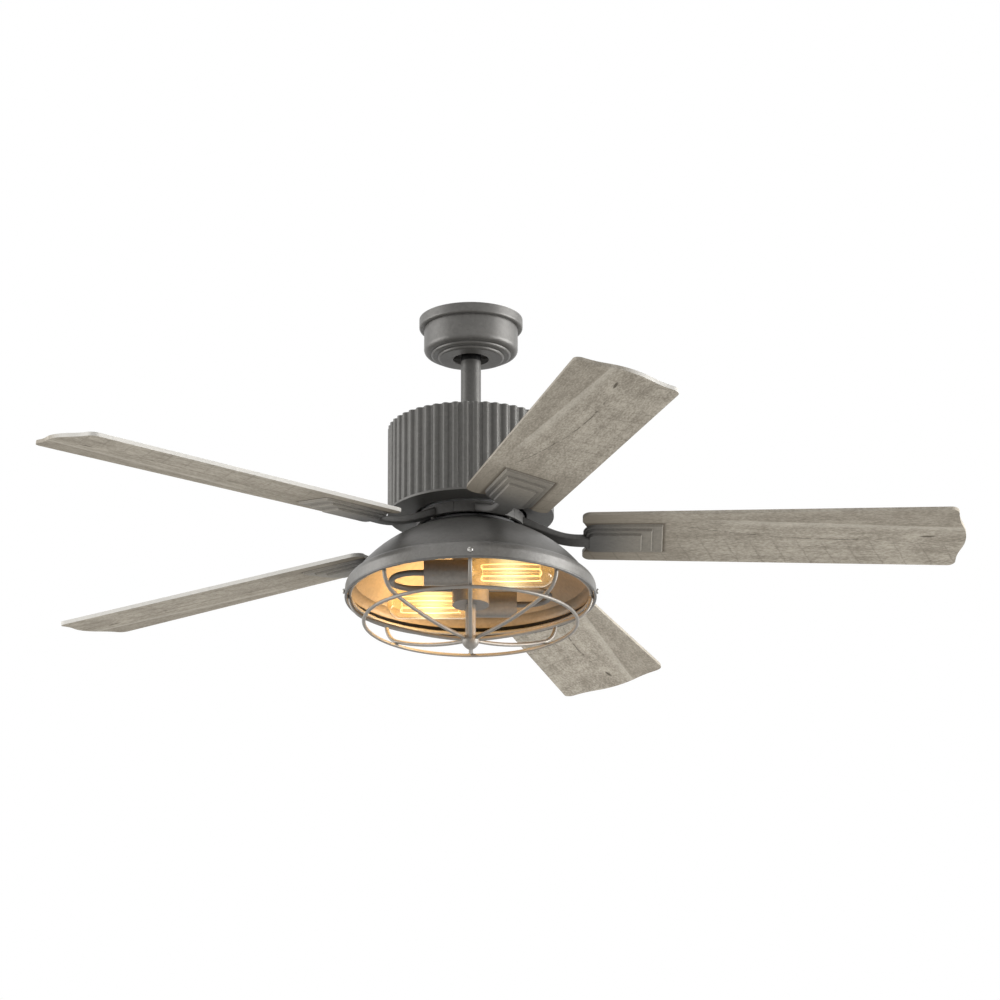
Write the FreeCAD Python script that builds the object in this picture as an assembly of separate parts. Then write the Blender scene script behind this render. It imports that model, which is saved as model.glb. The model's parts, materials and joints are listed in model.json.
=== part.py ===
import FreeCAD, Part
import math
import os

# Five-blade ceiling fan with a fluted motor housing and a caged two-lamp light kit, in millimetres.
# The origin is the centre of the ceiling face, +Z is up, and blade 1 points along +X.

os.makedirs("parts", exist_ok=True)

# Clearances and overruns
fit_gap = 0.05
seat_gap = 0.2
ball_gap = 0.3
spin_gap = 2.0
overrun = 1.0
ceiling_gap = 0.5

# Hanger bracket and ball
bracket_width = 56.0
bracket_sheet = 2.5
bracket_ear_height = 12.0
bracket_ear_width = 20.0
leg_gap = 62.0
box_screw_spacing = 88.9
box_slot_width = 5.5
box_slot_length = 14.0
wire_hole_radius = 18.0
ball_radius = 26.0
ball_drop = 31.0
ball_crown = 13.0
ball_skirt = 19.0
ball_groove_depth = 5.0
cradle_depth = 11.5
cradle_sheet = 3.0
tab_width = 4.0
tab_rise = 5.0
tab_gap = 0.4
swing_angle = 15.0

# Canopy and its trim ring
canopy_radius = 63.0
canopy_height = 57.0
canopy_wall = 1.5
canopy_edge_round = 7.0
canopy_step_radii = (50.0, 41.0)
canopy_step_height = 3.5
canopy_hole_radius = 24.0
ring_radius = 69.5
ring_height = 14.0
ring_wall = 1.5
ring_edge_round = 3.0
canopy_screw_drop = 7.5
canopy_screw_radius = 2.0
canopy_screw_head_radius = 3.6
canopy_screw_head_height = 2.4
canopy_screw_length = 9.0

# Downrod, coupling yoke and their pins
rod_radius = 13.5
rod_wall = 2.5
rod_rise = 18.0
rod_length = 139.0
pin_radius = 3.0
pin_overhang = 2.5
pin_rise = 10.0
yoke_radius = 20.0
yoke_grip = 22.0
yoke_pin_drop = 10.0
yoke_flange_radius = 36.0
yoke_flange_height = 5.0
coupling_cover_wall = 1.5
coupling_cover_radius = 34.0
coupling_cover_waist_radius = 30.5
coupling_cover_neck_radius = 17.0
coupling_cover_rise = 35.0
coupling_cover_waist_share = 0.63

# Motor housing
housing_top_drop = 157.0
housing_height = 121.0
housing_radius = 111.0
flute_count = 50
flute_depth = 3.4
flute_crest_share = 0.62
housing_wall = 2.4
housing_lip = 7.0
housing_lip_height = 2.5
lid_recess = 3.0
lid_sheet = 2.5
lid_vent_count = 10
lid_vent_width = 7.0
lid_vent_length = 24.0
lid_vent_radius = 74.0
cover_sheet = 3.0
cover_hole_radius = 75.0
housing_screw_count = 4
flange_screw_count = 3
flange_screw_circle_radius = 27.5
housing_screw_radius = 1.9
housing_screw_bite = 2.0
cover_screw_bite = 2.0
housing_screw_head_radius = 3.4
housing_screw_head_height = 2.2

# Reverse switch under the lid
switch_length = 24.0
switch_width = 12.0
switch_height = 8.0
switch_reach = 50.0
slider_length = 7.0
slider_width = 5.0
slider_depth = 5.0
slider_rise = 4.0
slider_travel = 6.0
slider_gap = 0.4

# Motor
shaft_radius = 11.0
shaft_bore = 6.5
shaft_entry = 13.0
stator_radius = 62.0
stator_stack = 30.0
stator_hub_radius = 25.0
tooth_count = 12
tooth_width = 8.0
tooth_shoe = 5.0
tooth_shoe_gap = 4.0
coil_thickness = 2.2
coil_overhang = 7.0
air_gap = 0.6
rotor_core_radius = 79.0
core_shoulder = 4.0
bell_radius = 91.0
bell_wall = 4.0
bell_depth = 38.0
bell_vent_count = 8
bell_vent_width = 9.0
bell_vent_inset = 7.0
bearing_race_radius = 14.4
bearing_radius = 18.0
bearing_height = 8.0
bearing_boss_wall = 4.5
hub_radius = 66.0
hub_wall = 8.0
hub_floor = 6.0
hub_bore_radius = 34.0
rotor_bolt_count = 5
rotor_bolt_radius = 2.5
rotor_bolt_head_radius = 4.4
rotor_bolt_head_height = 3.0

# Blades
blade_count = 5
blade_sweep_radius = 660.5
blade_root_radius = 149.0
blade_root_width = 115.5
blade_tip_width = 144.4
blade_thickness = 5.0
blade_pitch = 11.5
blade_drop = 310.4
blade_tip_crown = 11.5
blade_corner_round = 11.0
blade_root_dip = 10.0
blade_root_dip_width = 80.0

# Blade irons
foot_radius = 72.0
foot_inner_radius = 40.0
foot_height = 14.5
foot_sheet = 4.0
foot_skirt = 3.5
foot_seam = 0.5
tier_thickness = 3.1
tier_widths = (68.0, 54.0, 40.0)
tier_lengths = (106.0, 89.0, 71.0)
tier_insets = (1.0, 4.0, 8.0)
tier_draft = 1.4
tier_root_round_share = 0.85
neck_root_width = 34.0
neck_width = 23.0
neck_root_height = 12.0
neck_height = 9.0
neck_root_drop = 9.0
neck_edge_round = 3.0
neck_reach_shares = (0.0, 0.2, 0.42, 0.7, 0.92, 1.0)
neck_fall_shares = (0.0, 0.33, 0.68, 0.96, 1.0, 1.0)
foot_screw_radius = 2.4
foot_screw_head_radius = 4.2
foot_screw_head_height = 3.0
foot_screw_circle_radius = 52.0
foot_screw_turn_share = 0.236
blade_screw_radius = 2.2
blade_screw_bite = 7.0
blade_screw_head_radius = 4.6
blade_screw_head_height = 2.2
blade_washer_radius = 7.0
blade_washer_height = 1.2
blade_screw_inset = 25.0
blade_screw_row_gap = 42.0
blade_screw_spread = 14.0

# Light kit plate, shade and lamp post
plate_radius = 66.0
plate_sheet = 3.0
shade_wall = 1.6
shade_shoulder_radius = 64.0
shade_neck_radius = 70.5
shade_neck_drop = 2.6
shade_belly_inset = 50.1
shade_belly_drop = 27.5
shade_crease_inset = 11.1
shade_crease_drop = 67.0
shade_band_inset = 0.6
shade_band_drop = 78.5
shade_rim_radius = 167.6
shade_rim_drop = 92.0
shade_screw_circle_radius = 48.0
shade_screw_count = 3
shade_screw_radius = 2.2
shade_screw_head_radius = 4.2
shade_screw_head_height = 2.6
post_radius = 24.5
post_wall = 2.0
post_roof = 3.0
post_length = 98.5
post_cap_sheet = 3.0
post_cap_spigot = 4.0
nut_across_flats = 30.0
nut_sides = 6
nut_height = 7.0
shaft_tail = 14.0
capacitor_length = 38.0
capacitor_width = 36.0
capacitor_gap = 4.0

# Lamps
lamp_drop = 80.0
lamp_offset = 65.0
socket_radius = 17.5
socket_wall = 1.3
socket_length = 61.6
holder_setback = 6.0
holder_bore_depth = 30.0
bulb_base_radius = 13.0
bulb_base_gap = 0.3
bulb_contact_radius = 5.0
bulb_contact_height = 3.0
bulb_radius = 19.5
bulb_neck_radius = 12.4
bulb_neck_length = 6.0
bulb_flare_length = 13.0
bulb_length = 112.0
bulb_wall = 0.9
filament_start = 16.0
filament_end = 92.0
filament_radius = 11.5
filament_wire = 0.8
filament_count = 8
mount_radius = 3.5
mount_rod_radius = 1.2
arm_radius = 4.0
arm_run = 72.5

# Cage
ring_wire_radius = 2.4
rib_radius = 2.7
cage_inset = 7.2
cage_top_lift = 3.0
cage_tab_width = 12.0
cage_tab_thickness = 2.0
cage_tab_height = 10.0
cage_ring_inset = 18.4
cage_ring_fall = 34.0
rib_count = 8
rib_weld_angle = 21.0
collar_radius = 12.0
collar_height = 5.0
stem_radius = 7.0
stem_length = 50.0
stem_stud_radius = 4.0
finial_length = 11.5
finial_tip_radius = 3.5
finial_belly_share = 0.78
cage_screw_count = 4
cage_screw_radius = 2.0
cage_screw_head_radius = 3.6
cage_screw_head_height = 3.0
cage_screw_bite = 2.8
cage_screw_lift = 8.5

# Shape shares used by several pieces
pan_crown_share = 0.5
pan_top_share = 0.7
bend_share = math.sqrt(0.5)

# Levels, worked out downwards from the ceiling
canopy_top = -ceiling_gap
canopy_low = -canopy_height
ball_z = -ball_drop
cradle_top = ball_z - cradle_depth
cradle_bottom = cradle_top - cradle_sheet
rod_top = ball_z + rod_rise
rod_bottom = rod_top - rod_length
yoke_top = rod_bottom + yoke_grip
yoke_pin_z = yoke_top - yoke_pin_drop
housing_top = -housing_top_drop
lid_top = housing_top - lid_recess
lid_bottom = lid_top - lid_sheet
yoke_bottom = lid_bottom - yoke_flange_height
shaft_top = yoke_bottom + shaft_entry
housing_bottom = housing_top - housing_height
cover_bottom = housing_bottom - cover_sheet
foot_top = cover_bottom - spin_gap
foot_bottom = foot_top - foot_height
plate_top = foot_bottom - spin_gap
shade_top = plate_top - plate_sheet
shade_bottom = shade_top - shade_rim_drop
post_top = shade_top - shade_wall
post_bottom = post_top - post_length
cap_bottom = post_bottom - post_cap_sheet
nut_top = post_top - post_roof
shaft_bottom = nut_top - shaft_tail
lamp_z = shade_top - lamp_drop
stator_z = (lid_bottom + foot_top) / 2 + hub_floor
core_top = stator_z + stator_stack / 2
core_bottom = stator_z - stator_stack / 2
bell_top = stator_z + bell_depth
bell_bottom = stator_z - bell_depth
blade_z = -blade_drop
stem_bottom = cap_bottom - stem_length
cage_top_z = shade_bottom + cage_top_lift
cage_ring_z = shade_bottom - cage_ring_fall
cage_screw_z = shade_bottom + cage_screw_lift

# Radii that several pieces share
shell_bore = housing_radius - flute_depth - housing_wall
lip_radius = shell_bore - housing_lip
lip_circle = shell_bore - housing_lip / 2
bearing_seat = bearing_radius + fit_gap
boss_radius = bearing_seat + bearing_boss_wall
core_seat = rotor_core_radius + fit_gap
core_shelf = rotor_core_radius - core_shoulder
bolt_circle = (rotor_core_radius + bell_radius) / 2
canopy_bore = canopy_radius - canopy_wall
post_bore = post_radius - post_wall
shade_belly_radius = shade_rim_radius - shade_belly_inset
shade_crease_radius = shade_rim_radius - shade_crease_inset
shade_band_radius = shade_rim_radius - shade_band_inset
cage_top_radius = shade_rim_radius - cage_inset
cage_ring_radius = cage_top_radius - cage_ring_inset
tier_starts = [blade_root_radius + inset for inset in tier_insets]
tier_ends = [start + length for start, length in zip(tier_starts, tier_lengths)]
blade_screw_inner_row = blade_root_radius + blade_screw_inset
blade_screw_outer_row = blade_screw_inner_row + blade_screw_row_gap

axis_x = FreeCAD.Vector(1, 0, 0)
axis_z = FreeCAD.Vector(0, 0, 1)
centre = FreeCAD.Vector(0, 0, 0)
full_turn = 360.0
half_turn = 180.0
blade_angles = [-full_turn * i / blade_count for i in range(blade_count)]
foot_screw_angle = full_turn / blade_count * foot_screw_turn_share


# Helpers for outlines, solids of revolution, prisms and patterns
def side(radius, height):
    return FreeCAD.Vector(radius, 0, height)


def plan(x, y):
    return FreeCAD.Vector(x, y, 0)


def outline(path, place):
    """A pair is a straight run to a place, a four is an arc through one place to another."""
    edges = []
    here = place(*path[0])
    for step in path[1:] + path[:1]:
        there = place(*step[-2:])
        if len(step) == 4:
            edges.append(Part.Arc(here, place(*step[:2]), there).toShape())
        elif not there.isEqual(here, fit_gap / 100):
            edges.append(Part.LineSegment(here, there).toShape())
        here = there
    return Part.Wire(edges)


def turned(path, angle=full_turn):
    """Turns an outline of radius and height about the Z axis."""
    return Part.Face(outline(path, side)).revolve(centre, axis_z, angle)


def prism(path, low, high):
    """Raises a plan outline from one height to another."""
    face = Part.Face(outline(path, plan))
    face.translate(axis_z * low)
    return face.extrude(axis_z * (high - low))


def tube(outer, inner, low, high):
    return turned([(inner, low), (outer, low), (outer, high), (inner, high)])


def disc(radius, low, high):
    return Part.makeCylinder(radius, high - low, axis_z * low, axis_z)


def rod(radius, start, end):
    way = end - start
    return Part.makeCylinder(radius, way.Length, start, way)


def block(x_low, x_high, y_low, y_high, z_low, z_high):
    corner = FreeCAD.Vector(x_low, y_low, z_low)
    return Part.makeBox(x_high - x_low, y_high - y_low, z_high - z_low, corner)


def spun(shape, angle):
    copy = shape.copy()
    copy.rotate(centre, axis_z, angle)
    return copy


def ring_of(shape, count, first=0.0):
    return [spun(shape, first + full_turn * i / count) for i in range(count)]


def polar(radius, angle, height):
    turn = math.radians(angle)
    return FreeCAD.Vector(radius * math.cos(turn), radius * math.sin(turn), height)


def placed(shape, base, direction):
    """Carries a shape made on the Z axis to a base, with Z along a direction."""
    copy = shape.copy()
    turn = FreeCAD.Rotation(axis_z, direction)
    copy.Placement = FreeCAD.Placement(base, turn).multiply(copy.Placement)
    return copy


def slot(length, width, low, high):
    """A slot along X with round ends, centred on the Z axis."""
    radius = width / 2
    run = length / 2 - radius
    path = [(-run, -radius), (run, -radius), (run + radius, 0, run, radius)]
    path += [(-run, radius), (-run - radius, 0, -run, -radius)]
    return prism(path, low, high)


def pan_screw(shank, length, head, head_height):
    """A screw on the Z axis with its head above zero and its shank below."""
    path = [(0, -length), (shank, -length), (shank, 0), (head, 0), (head, head_height * pan_crown_share)]
    path += [(head * pan_top_share, head_height), (0, head_height)]
    return turned(path)


def swept(start, way, edges, radius):
    """A round wire along a path of edges, from a start that faces a way."""
    ring = Part.Wire(Part.makeCircle(radius, start, way))
    return Part.Wire(edges).makePipeShell([ring], True, False)


# Ceiling bracket: plate with box slots, ears for the canopy, legs and the ball cradle
def hanger_bracket():
    reach = canopy_bore - seat_gap
    half_y = bracket_width / 2
    ear_y = bracket_ear_width / 2
    leg_x = leg_gap / 2 + bracket_sheet
    rim = disc(reach, cradle_bottom, 0)
    core = disc(reach - bracket_sheet, cradle_bottom - overrun, overrun)
    plate = block(-reach, reach, -half_y, half_y, -bracket_sheet, 0).common(rim)
    ears = block(-reach, reach, -ear_y, ear_y, -bracket_ear_height, 0).common(rim).cut(core)
    legs = block(-leg_x, leg_x, -half_y, half_y, cradle_bottom, -bracket_sheet)
    room = block(-leg_gap / 2, leg_gap / 2, -half_y, half_y, cradle_top, -bracket_sheet)
    tab = block(-tab_width / 2, tab_width / 2, 0, half_y, cradle_bottom, cradle_top + tab_rise)
    tab_tip = ball_radius - ball_groove_depth + tab_gap
    tab = tab.cut(rod(tab_tip, side(-tab_width, ball_z), side(tab_width, ball_z)))
    seat = Part.makeSphere(ball_radius + ball_gap, axis_z * ball_z)
    throat = rod_radius + spin_gap
    mouth = block(-throat, throat, -half_y, 0, cradle_bottom, cradle_top)
    wires = disc(wire_hole_radius, -bracket_sheet, 0)
    box_slot = slot(box_slot_length, box_slot_width, -bracket_sheet, 0)
    body = plate.fuse([ears, legs.cut(room)]).cut([seat, mouth, wires]).fuse(tab)
    for sign in (-1, 1):
        cut = box_slot.copy()
        cut.translate(axis_x * (sign * box_screw_spacing / 2))
        hole_start = side(sign * (reach - bracket_sheet - overrun), -canopy_screw_drop)
        hole_end = side(sign * canopy_radius, -canopy_screw_drop)
        body = body.cut([cut, rod(canopy_screw_radius + fit_gap, hole_start, hole_end)])
    lane = disc(rod_radius + tab_gap, cradle_bottom - ball_radius, ball_z)
    for lean in (-swing_angle, 0, swing_angle):
        cut = lane.copy()
        cut.rotate(axis_z * ball_z, axis_x, lean)
        body = body.cut(cut)
    return body.removeSplitter()


def hanger_ball():
    groove_floor = ball_radius - ball_groove_depth
    groove_half = tab_width / 2 + tab_gap
    pin_half = pin_radius + fit_gap
    crown_z = ball_z + ball_crown
    ball = Part.makeSphere(ball_radius, axis_z * ball_z)
    slab = disc(ball_radius, ball_z - ball_skirt, crown_z)
    groove = block(-groove_half, groove_half, 0, ball_radius, ball_z - ball_radius, ball_z + ball_radius)
    groove = groove.cut(rod(groove_floor, side(-tab_width, ball_z), side(tab_width, ball_z)))
    bore = disc(rod_radius + fit_gap, ball_z - ball_radius, ball_z + ball_radius)
    pin_z = ball_z + pin_rise
    trough_x = ball_radius
    trough = block(-trough_x, trough_x, -pin_half, pin_half, pin_z, crown_z)
    trough_floor = rod(pin_half, side(-trough_x, pin_z), side(trough_x, pin_z))
    return ball.common(slab).cut([groove, bore, trough, trough_floor])


# Canopy cup with two rounded steps round the rod hole
def canopy():
    step = canopy_step_height
    edge = canopy_low + step * len(canopy_step_radii)
    bend = canopy_edge_round * bend_share
    round_z = edge + canopy_edge_round
    round_r = canopy_radius - canopy_edge_round
    path = [(canopy_bore, canopy_top), (canopy_radius, canopy_top), (canopy_radius, round_z)]
    path += [(round_r + bend, round_z - bend, round_r, edge)]
    level = edge
    for radius in canopy_step_radii:
        path += [(radius + step, level)]
        path += [(radius + step * bend_share, level - step * bend_share, radius, level - step)]
        level -= step
    path += [(canopy_hole_radius, level), (canopy_hole_radius, level + canopy_wall)]
    inner_step = step - canopy_wall
    for radius in reversed(canopy_step_radii):
        path += [(radius, level + canopy_wall)]
        path += [(radius + inner_step * bend_share, level + step - inner_step * bend_share,
                  radius + inner_step, level + step)]
        level += step
        path += [(radius + inner_step, level + canopy_wall)]
    inner_bend = (canopy_edge_round - canopy_wall) * bend_share
    path += [(round_r, edge + canopy_wall)]
    path += [(round_r + inner_bend, round_z - inner_bend, canopy_bore, round_z)]
    hole_radius = canopy_screw_radius + fit_gap
    hole = rod(hole_radius, side(-ring_radius, -canopy_screw_drop), side(ring_radius, -canopy_screw_drop))
    return turned(path).cut(hole)


def canopy_ring():
    inner = canopy_radius + seat_gap
    low = canopy_top - ring_height
    wall = ring_radius - ring_wall
    bend = ring_edge_round * (1 - bend_share)
    path = [(inner, low), (ring_radius - ring_edge_round, low)]
    path += [(ring_radius - bend, low + bend, ring_radius, low + ring_edge_round)]
    path += [(ring_radius, canopy_top), (wall, canopy_top)]
    path += [(wall, low + ring_wall), (inner, low + ring_wall)]
    return turned(path)


def canopy_screws():
    screw = pan_screw(canopy_screw_radius, canopy_screw_length, canopy_screw_head_radius,
                      canopy_screw_head_height)
    screw = placed(screw, side(canopy_radius, -canopy_screw_drop), axis_x)
    return Part.makeCompound(ring_of(screw, 2))


# Downrod, pins and the yoke that carries the motor shaft and the lid
def downrod():
    body = tube(rod_radius, rod_radius - rod_wall, rod_bottom, rod_top)
    hole = pin_radius + fit_gap
    pin_z = ball_z + pin_rise
    ball_hole = rod(hole, side(-rod_radius, pin_z), side(rod_radius, pin_z))
    yoke_hole = rod(hole, side(-rod_radius, yoke_pin_z), side(rod_radius, yoke_pin_z))
    return body.cut([ball_hole, yoke_hole])


def hanger_pins():
    pin_z = ball_z + pin_rise
    ball_reach = math.sqrt(ball_radius ** 2 - (pin_rise + pin_radius) ** 2) - pin_overhang
    yoke_reach = yoke_radius + pin_overhang
    ball_pin = rod(pin_radius, side(-ball_reach, pin_z), side(ball_reach, pin_z))
    yoke_pin = rod(pin_radius, side(-yoke_reach, yoke_pin_z), side(yoke_reach, yoke_pin_z))
    return Part.makeCompound([ball_pin, yoke_pin])


def yoke():
    rod_bore = rod_radius + fit_gap
    shaft_hole = shaft_radius + fit_gap
    path = [(shaft_hole, yoke_bottom), (yoke_flange_radius, yoke_bottom), (yoke_flange_radius, lid_bottom)]
    path += [(yoke_radius, lid_bottom), (yoke_radius, yoke_top), (rod_bore, yoke_top)]
    path += [(rod_bore, rod_bottom), (shaft_bore, rod_bottom), (shaft_bore, shaft_top)]
    path += [(shaft_hole, shaft_top)]
    hole = rod(pin_radius + fit_gap, side(-yoke_radius, yoke_pin_z), side(yoke_radius, yoke_pin_z))
    screw_hole = disc(housing_screw_radius + fit_gap, yoke_bottom, lid_bottom)
    screw_hole.translate(axis_x * flange_screw_circle_radius)
    return turned(path).cut([hole] + ring_of(screw_hole, flange_screw_count))


def coupling_cover():
    top = lid_top + coupling_cover_rise
    waist = lid_top + coupling_cover_rise * coupling_cover_waist_share
    wall = coupling_cover_wall
    neck_bore = rod_radius + seat_gap
    path = [(coupling_cover_radius - wall, lid_top), (coupling_cover_radius, lid_top)]
    path += [(coupling_cover_waist_radius, waist, coupling_cover_neck_radius, top), (neck_bore, top)]
    path += [(neck_bore, top - wall), (coupling_cover_neck_radius - wall, top - wall)]
    path += [(coupling_cover_waist_radius - wall, waist - wall, coupling_cover_radius - wall, lid_top)]
    return turned(path)


# Motor housing: vented lid, fluted shell, ring cover below
def housing_lid():
    body = tube(shell_bore - seat_gap, yoke_radius + seat_gap, lid_bottom, lid_top)
    vent = slot(lid_vent_length, lid_vent_width, lid_bottom, lid_top)
    vent.translate(axis_x * lid_vent_radius)
    window = slider_length + slider_travel + slider_gap * 2
    window_half = slider_width / 2 + slider_gap
    opening = block(-window / 2, window / 2, switch_reach - window_half, switch_reach + window_half,
                    lid_bottom, lid_top)
    hole = disc(housing_screw_radius + fit_gap, lid_bottom, lid_top)
    rim_hole = hole.copy()
    rim_hole.translate(axis_x * lip_circle)
    flange_hole = hole.copy()
    flange_hole.translate(axis_x * flange_screw_circle_radius)
    cuts = ring_of(vent, lid_vent_count) + ring_of(rim_hole, housing_screw_count)
    return body.cut(cuts + ring_of(flange_hole, flange_screw_count) + [opening])


def fluted_outline():
    """Broad crests and narrow valleys as arcs that run into each other."""
    pitch = full_turn / flute_count
    crest_half = pitch * flute_crest_share / 2
    join = housing_radius - flute_depth * flute_crest_share
    path = [tuple(polar(join, -crest_half, 0))[:2]]
    for i in range(flute_count):
        crest = pitch * i
        valley = crest + pitch / 2
        next_crest = crest + pitch
        for radius, angle, end_angle in ((housing_radius, crest, crest + crest_half),
                                         (housing_radius - flute_depth, valley, next_crest - crest_half)):
            through = polar(radius, angle, 0)
            end = polar(join, end_angle, 0)
            path.append((through.x, through.y, end.x, end.y))
    return path


def housing_shell():
    bottom_lip = housing_bottom + housing_lip_height
    top_lip = lid_bottom - housing_lip_height
    void = [(0, housing_bottom), (lip_radius, housing_bottom), (lip_radius, bottom_lip)]
    void += [(shell_bore, bottom_lip), (shell_bore, top_lip), (lip_radius, top_lip)]
    void += [(lip_radius, lid_bottom), (shell_bore, lid_bottom), (shell_bore, housing_top)]
    void += [(0, housing_top)]
    body = prism(fluted_outline(), housing_bottom, housing_top).cut(turned(void))
    hole = disc(housing_screw_radius + fit_gap, housing_bottom, lid_bottom)
    hole.translate(axis_x * lip_circle)
    return body.cut(ring_of(hole, housing_screw_count))


def bottom_cover():
    body = tube(housing_radius, cover_hole_radius, cover_bottom, housing_bottom)
    hole = disc(housing_screw_radius + fit_gap, housing_bottom - cover_screw_bite, housing_bottom)
    hole.translate(axis_x * lip_circle)
    return body.cut(ring_of(hole, housing_screw_count))


def housing_screws():
    rim_length = lid_sheet + housing_lip_height + housing_screw_bite
    flange_length = lid_sheet + yoke_flange_height
    cover_length = housing_lip_height + cover_screw_bite
    lip_top = housing_bottom + housing_lip_height
    head = housing_screw_head_radius
    groups = []
    for length, circle, level, count in (
        (rim_length, lip_circle, lid_top, housing_screw_count),
        (flange_length, flange_screw_circle_radius, lid_top, flange_screw_count),
        (cover_length, lip_circle, lip_top, housing_screw_count),
    ):
        screw = pan_screw(housing_screw_radius, length, head, housing_screw_head_height)
        screw.translate(side(circle, level))
        groups += ring_of(screw, count)
    return Part.makeCompound(groups)


# Reverse switch: a body under the lid and a slider that stands through it
def reverse_switch():
    half_y = switch_width / 2
    window = slider_length + slider_travel + slider_gap * 2
    window_half = slider_width / 2 + slider_gap
    body = block(-switch_length / 2, switch_length / 2, switch_reach - half_y, switch_reach + half_y,
                 lid_bottom - switch_height, lid_bottom)
    return body.cut(block(-window / 2, window / 2, switch_reach - window_half, switch_reach + window_half,
                          lid_bottom - slider_depth - slider_gap, lid_bottom))


def reverse_slider():
    low_x = -(slider_length + slider_travel) / 2
    half_y = slider_width / 2
    return block(low_x, low_x + slider_length, switch_reach - half_y, switch_reach + half_y,
                 lid_bottom - slider_depth, lid_top + slider_rise)


# Motor: hollow shaft, toothed stator with its coils, rotor core, two bells and the bearings
def motor_shaft():
    return tube(shaft_radius, shaft_bore, shaft_bottom, shaft_top)


def stator_core():
    tooth_turn = math.pi / tooth_count
    slot_end = stator_radius - tooth_shoe
    low, high = core_bottom, core_top

    def slot_half(radius):
        return (radius * math.sin(tooth_turn) - tooth_width / 2) / math.cos(tooth_turn)

    inner = slot_half(stator_hub_radius)
    outer = slot_half(slot_end)
    pocket = prism([(stator_hub_radius, -inner), (slot_end, -outer), (slot_end, outer),
                    (stator_hub_radius, inner)], low, high)
    mouth = block(stator_hub_radius, stator_radius, -tooth_shoe_gap / 2, tooth_shoe_gap / 2, low, high)
    cuts = ring_of(pocket.fuse(mouth), tooth_count, full_turn / tooth_count / 2)
    return tube(stator_radius, shaft_radius + fit_gap, low, high).cut(cuts)


def stator_windings():
    start = stator_hub_radius + overrun
    end = stator_radius - tooth_shoe - overrun
    inner = tooth_width / 2 + fit_gap
    outer = inner + coil_thickness
    rise = coil_overhang
    coil = block(start, end, -outer, outer, core_bottom - rise, core_top + rise)
    coil = coil.cut(block(start, end, -inner, inner, core_bottom - fit_gap, core_top + fit_gap))
    return Part.makeCompound(ring_of(coil, tooth_count))


def bearing_rings(inner, outer):
    upper = tube(outer, inner, bell_top - bearing_height, bell_top)
    lower = tube(outer, inner, bell_bottom, bell_bottom + bearing_height)
    return Part.makeCompound([upper, lower])


def bell_bolt_holes():
    hole = disc(rotor_bolt_radius + fit_gap, bell_bottom, bell_top)
    hole.translate(axis_x * bolt_circle)
    return ring_of(hole, rotor_bolt_count)


def bell_vents(outer, low, high):
    start = boss_radius + bell_vent_inset
    length = outer - bell_vent_inset - start
    vent = slot(length, bell_vent_width, low, high)
    vent.translate(axis_x * (start + length / 2))
    return ring_of(vent, bell_vent_count)


def upper_bell():
    inside = bell_top - bell_wall
    path = [(bearing_seat, bell_top), (bell_radius, bell_top), (bell_radius, stator_z)]
    path += [(core_seat, stator_z), (core_seat, core_top), (core_shelf, core_top)]
    path += [(core_shelf, inside), (boss_radius, inside)]
    path += [(boss_radius, bell_top - bearing_height), (bearing_seat, bell_top - bearing_height)]
    return turned(path).cut(bell_bolt_holes() + bell_vents(core_shelf, inside, bell_top))


def lower_bell():
    inside = bell_bottom + bell_wall
    hub_bore = hub_radius - hub_wall
    path = [(bearing_seat, bell_bottom), (hub_bore, bell_bottom), (hub_bore, foot_top + hub_floor)]
    path += [(hub_bore_radius, foot_top + hub_floor), (hub_bore_radius, foot_top), (hub_radius, foot_top)]
    path += [(hub_radius, bell_bottom), (bell_radius, bell_bottom), (bell_radius, stator_z)]
    path += [(core_seat, stator_z), (core_seat, core_bottom), (core_shelf, core_bottom)]
    path += [(core_shelf, inside), (boss_radius, inside), (boss_radius, bell_bottom + bearing_height)]
    path += [(bearing_seat, bell_bottom + bearing_height)]
    cuts = bell_bolt_holes() + bell_vents(hub_bore, bell_bottom, inside)
    hole = disc(foot_screw_radius + fit_gap, foot_top, foot_top + hub_floor)
    for angle in foot_screw_turns():
        cut = hole.copy()
        cut.translate(polar(foot_screw_circle_radius, angle, 0))
        cuts.append(cut)
    return turned(path).cut(cuts)


def rotor_bolts():
    bolt = pan_screw(rotor_bolt_radius, bell_depth * 2, rotor_bolt_head_radius, rotor_bolt_head_height)
    bolt = placed(bolt, side(bolt_circle, bell_top), axis_z)
    return Part.makeCompound(ring_of(bolt, rotor_bolt_count))


# Blades: a tapered board with a camel-back tip and a dished root, laid at the pitch
def on_blade(shape, angle):
    """Lays a shape made flat along X at the blade's pitch, height and turn."""
    copy = shape.copy()
    copy.rotate(centre, axis_x, -blade_pitch)
    copy.translate(axis_z * blade_z)
    return spun(copy, angle)


def blade_outline():
    tip = blade_sweep_radius - blade_tip_crown
    root_half = blade_root_width / 2
    tip_half = blade_tip_width / 2
    corner = blade_corner_round
    bend = corner * (1 - bend_share)
    crown_half = (tip_half - corner) / 2
    crown_end = tip + blade_tip_crown / 2
    sway = crown_half / 2
    swell = blade_tip_crown / 8
    dip_half = blade_root_dip_width / 2
    root_face = root_half - corner
    path = [(blade_root_radius + corner, -root_half), (tip - corner, -tip_half)]
    path += [(tip - bend, -tip_half + bend, tip, -tip_half + corner)]
    path += [(tip + swell, -crown_half - sway, crown_end, -crown_half)]
    path += [(blade_sweep_radius, 0, crown_end, crown_half)]
    path += [(tip + swell, crown_half + sway, tip, tip_half - corner)]
    path += [(tip - bend, tip_half - bend, tip - corner, tip_half)]
    path += [(blade_root_radius + corner, root_half)]
    path += [(blade_root_radius + bend, root_half - bend, blade_root_radius, root_face)]
    path += [(blade_root_radius, dip_half)]
    path += [(blade_root_radius + blade_root_dip, 0, blade_root_radius, -dip_half)]
    path += [(blade_root_radius, -root_face)]
    path += [(blade_root_radius + bend, -root_half + bend, blade_root_radius + corner, -root_half)]
    return path


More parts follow.
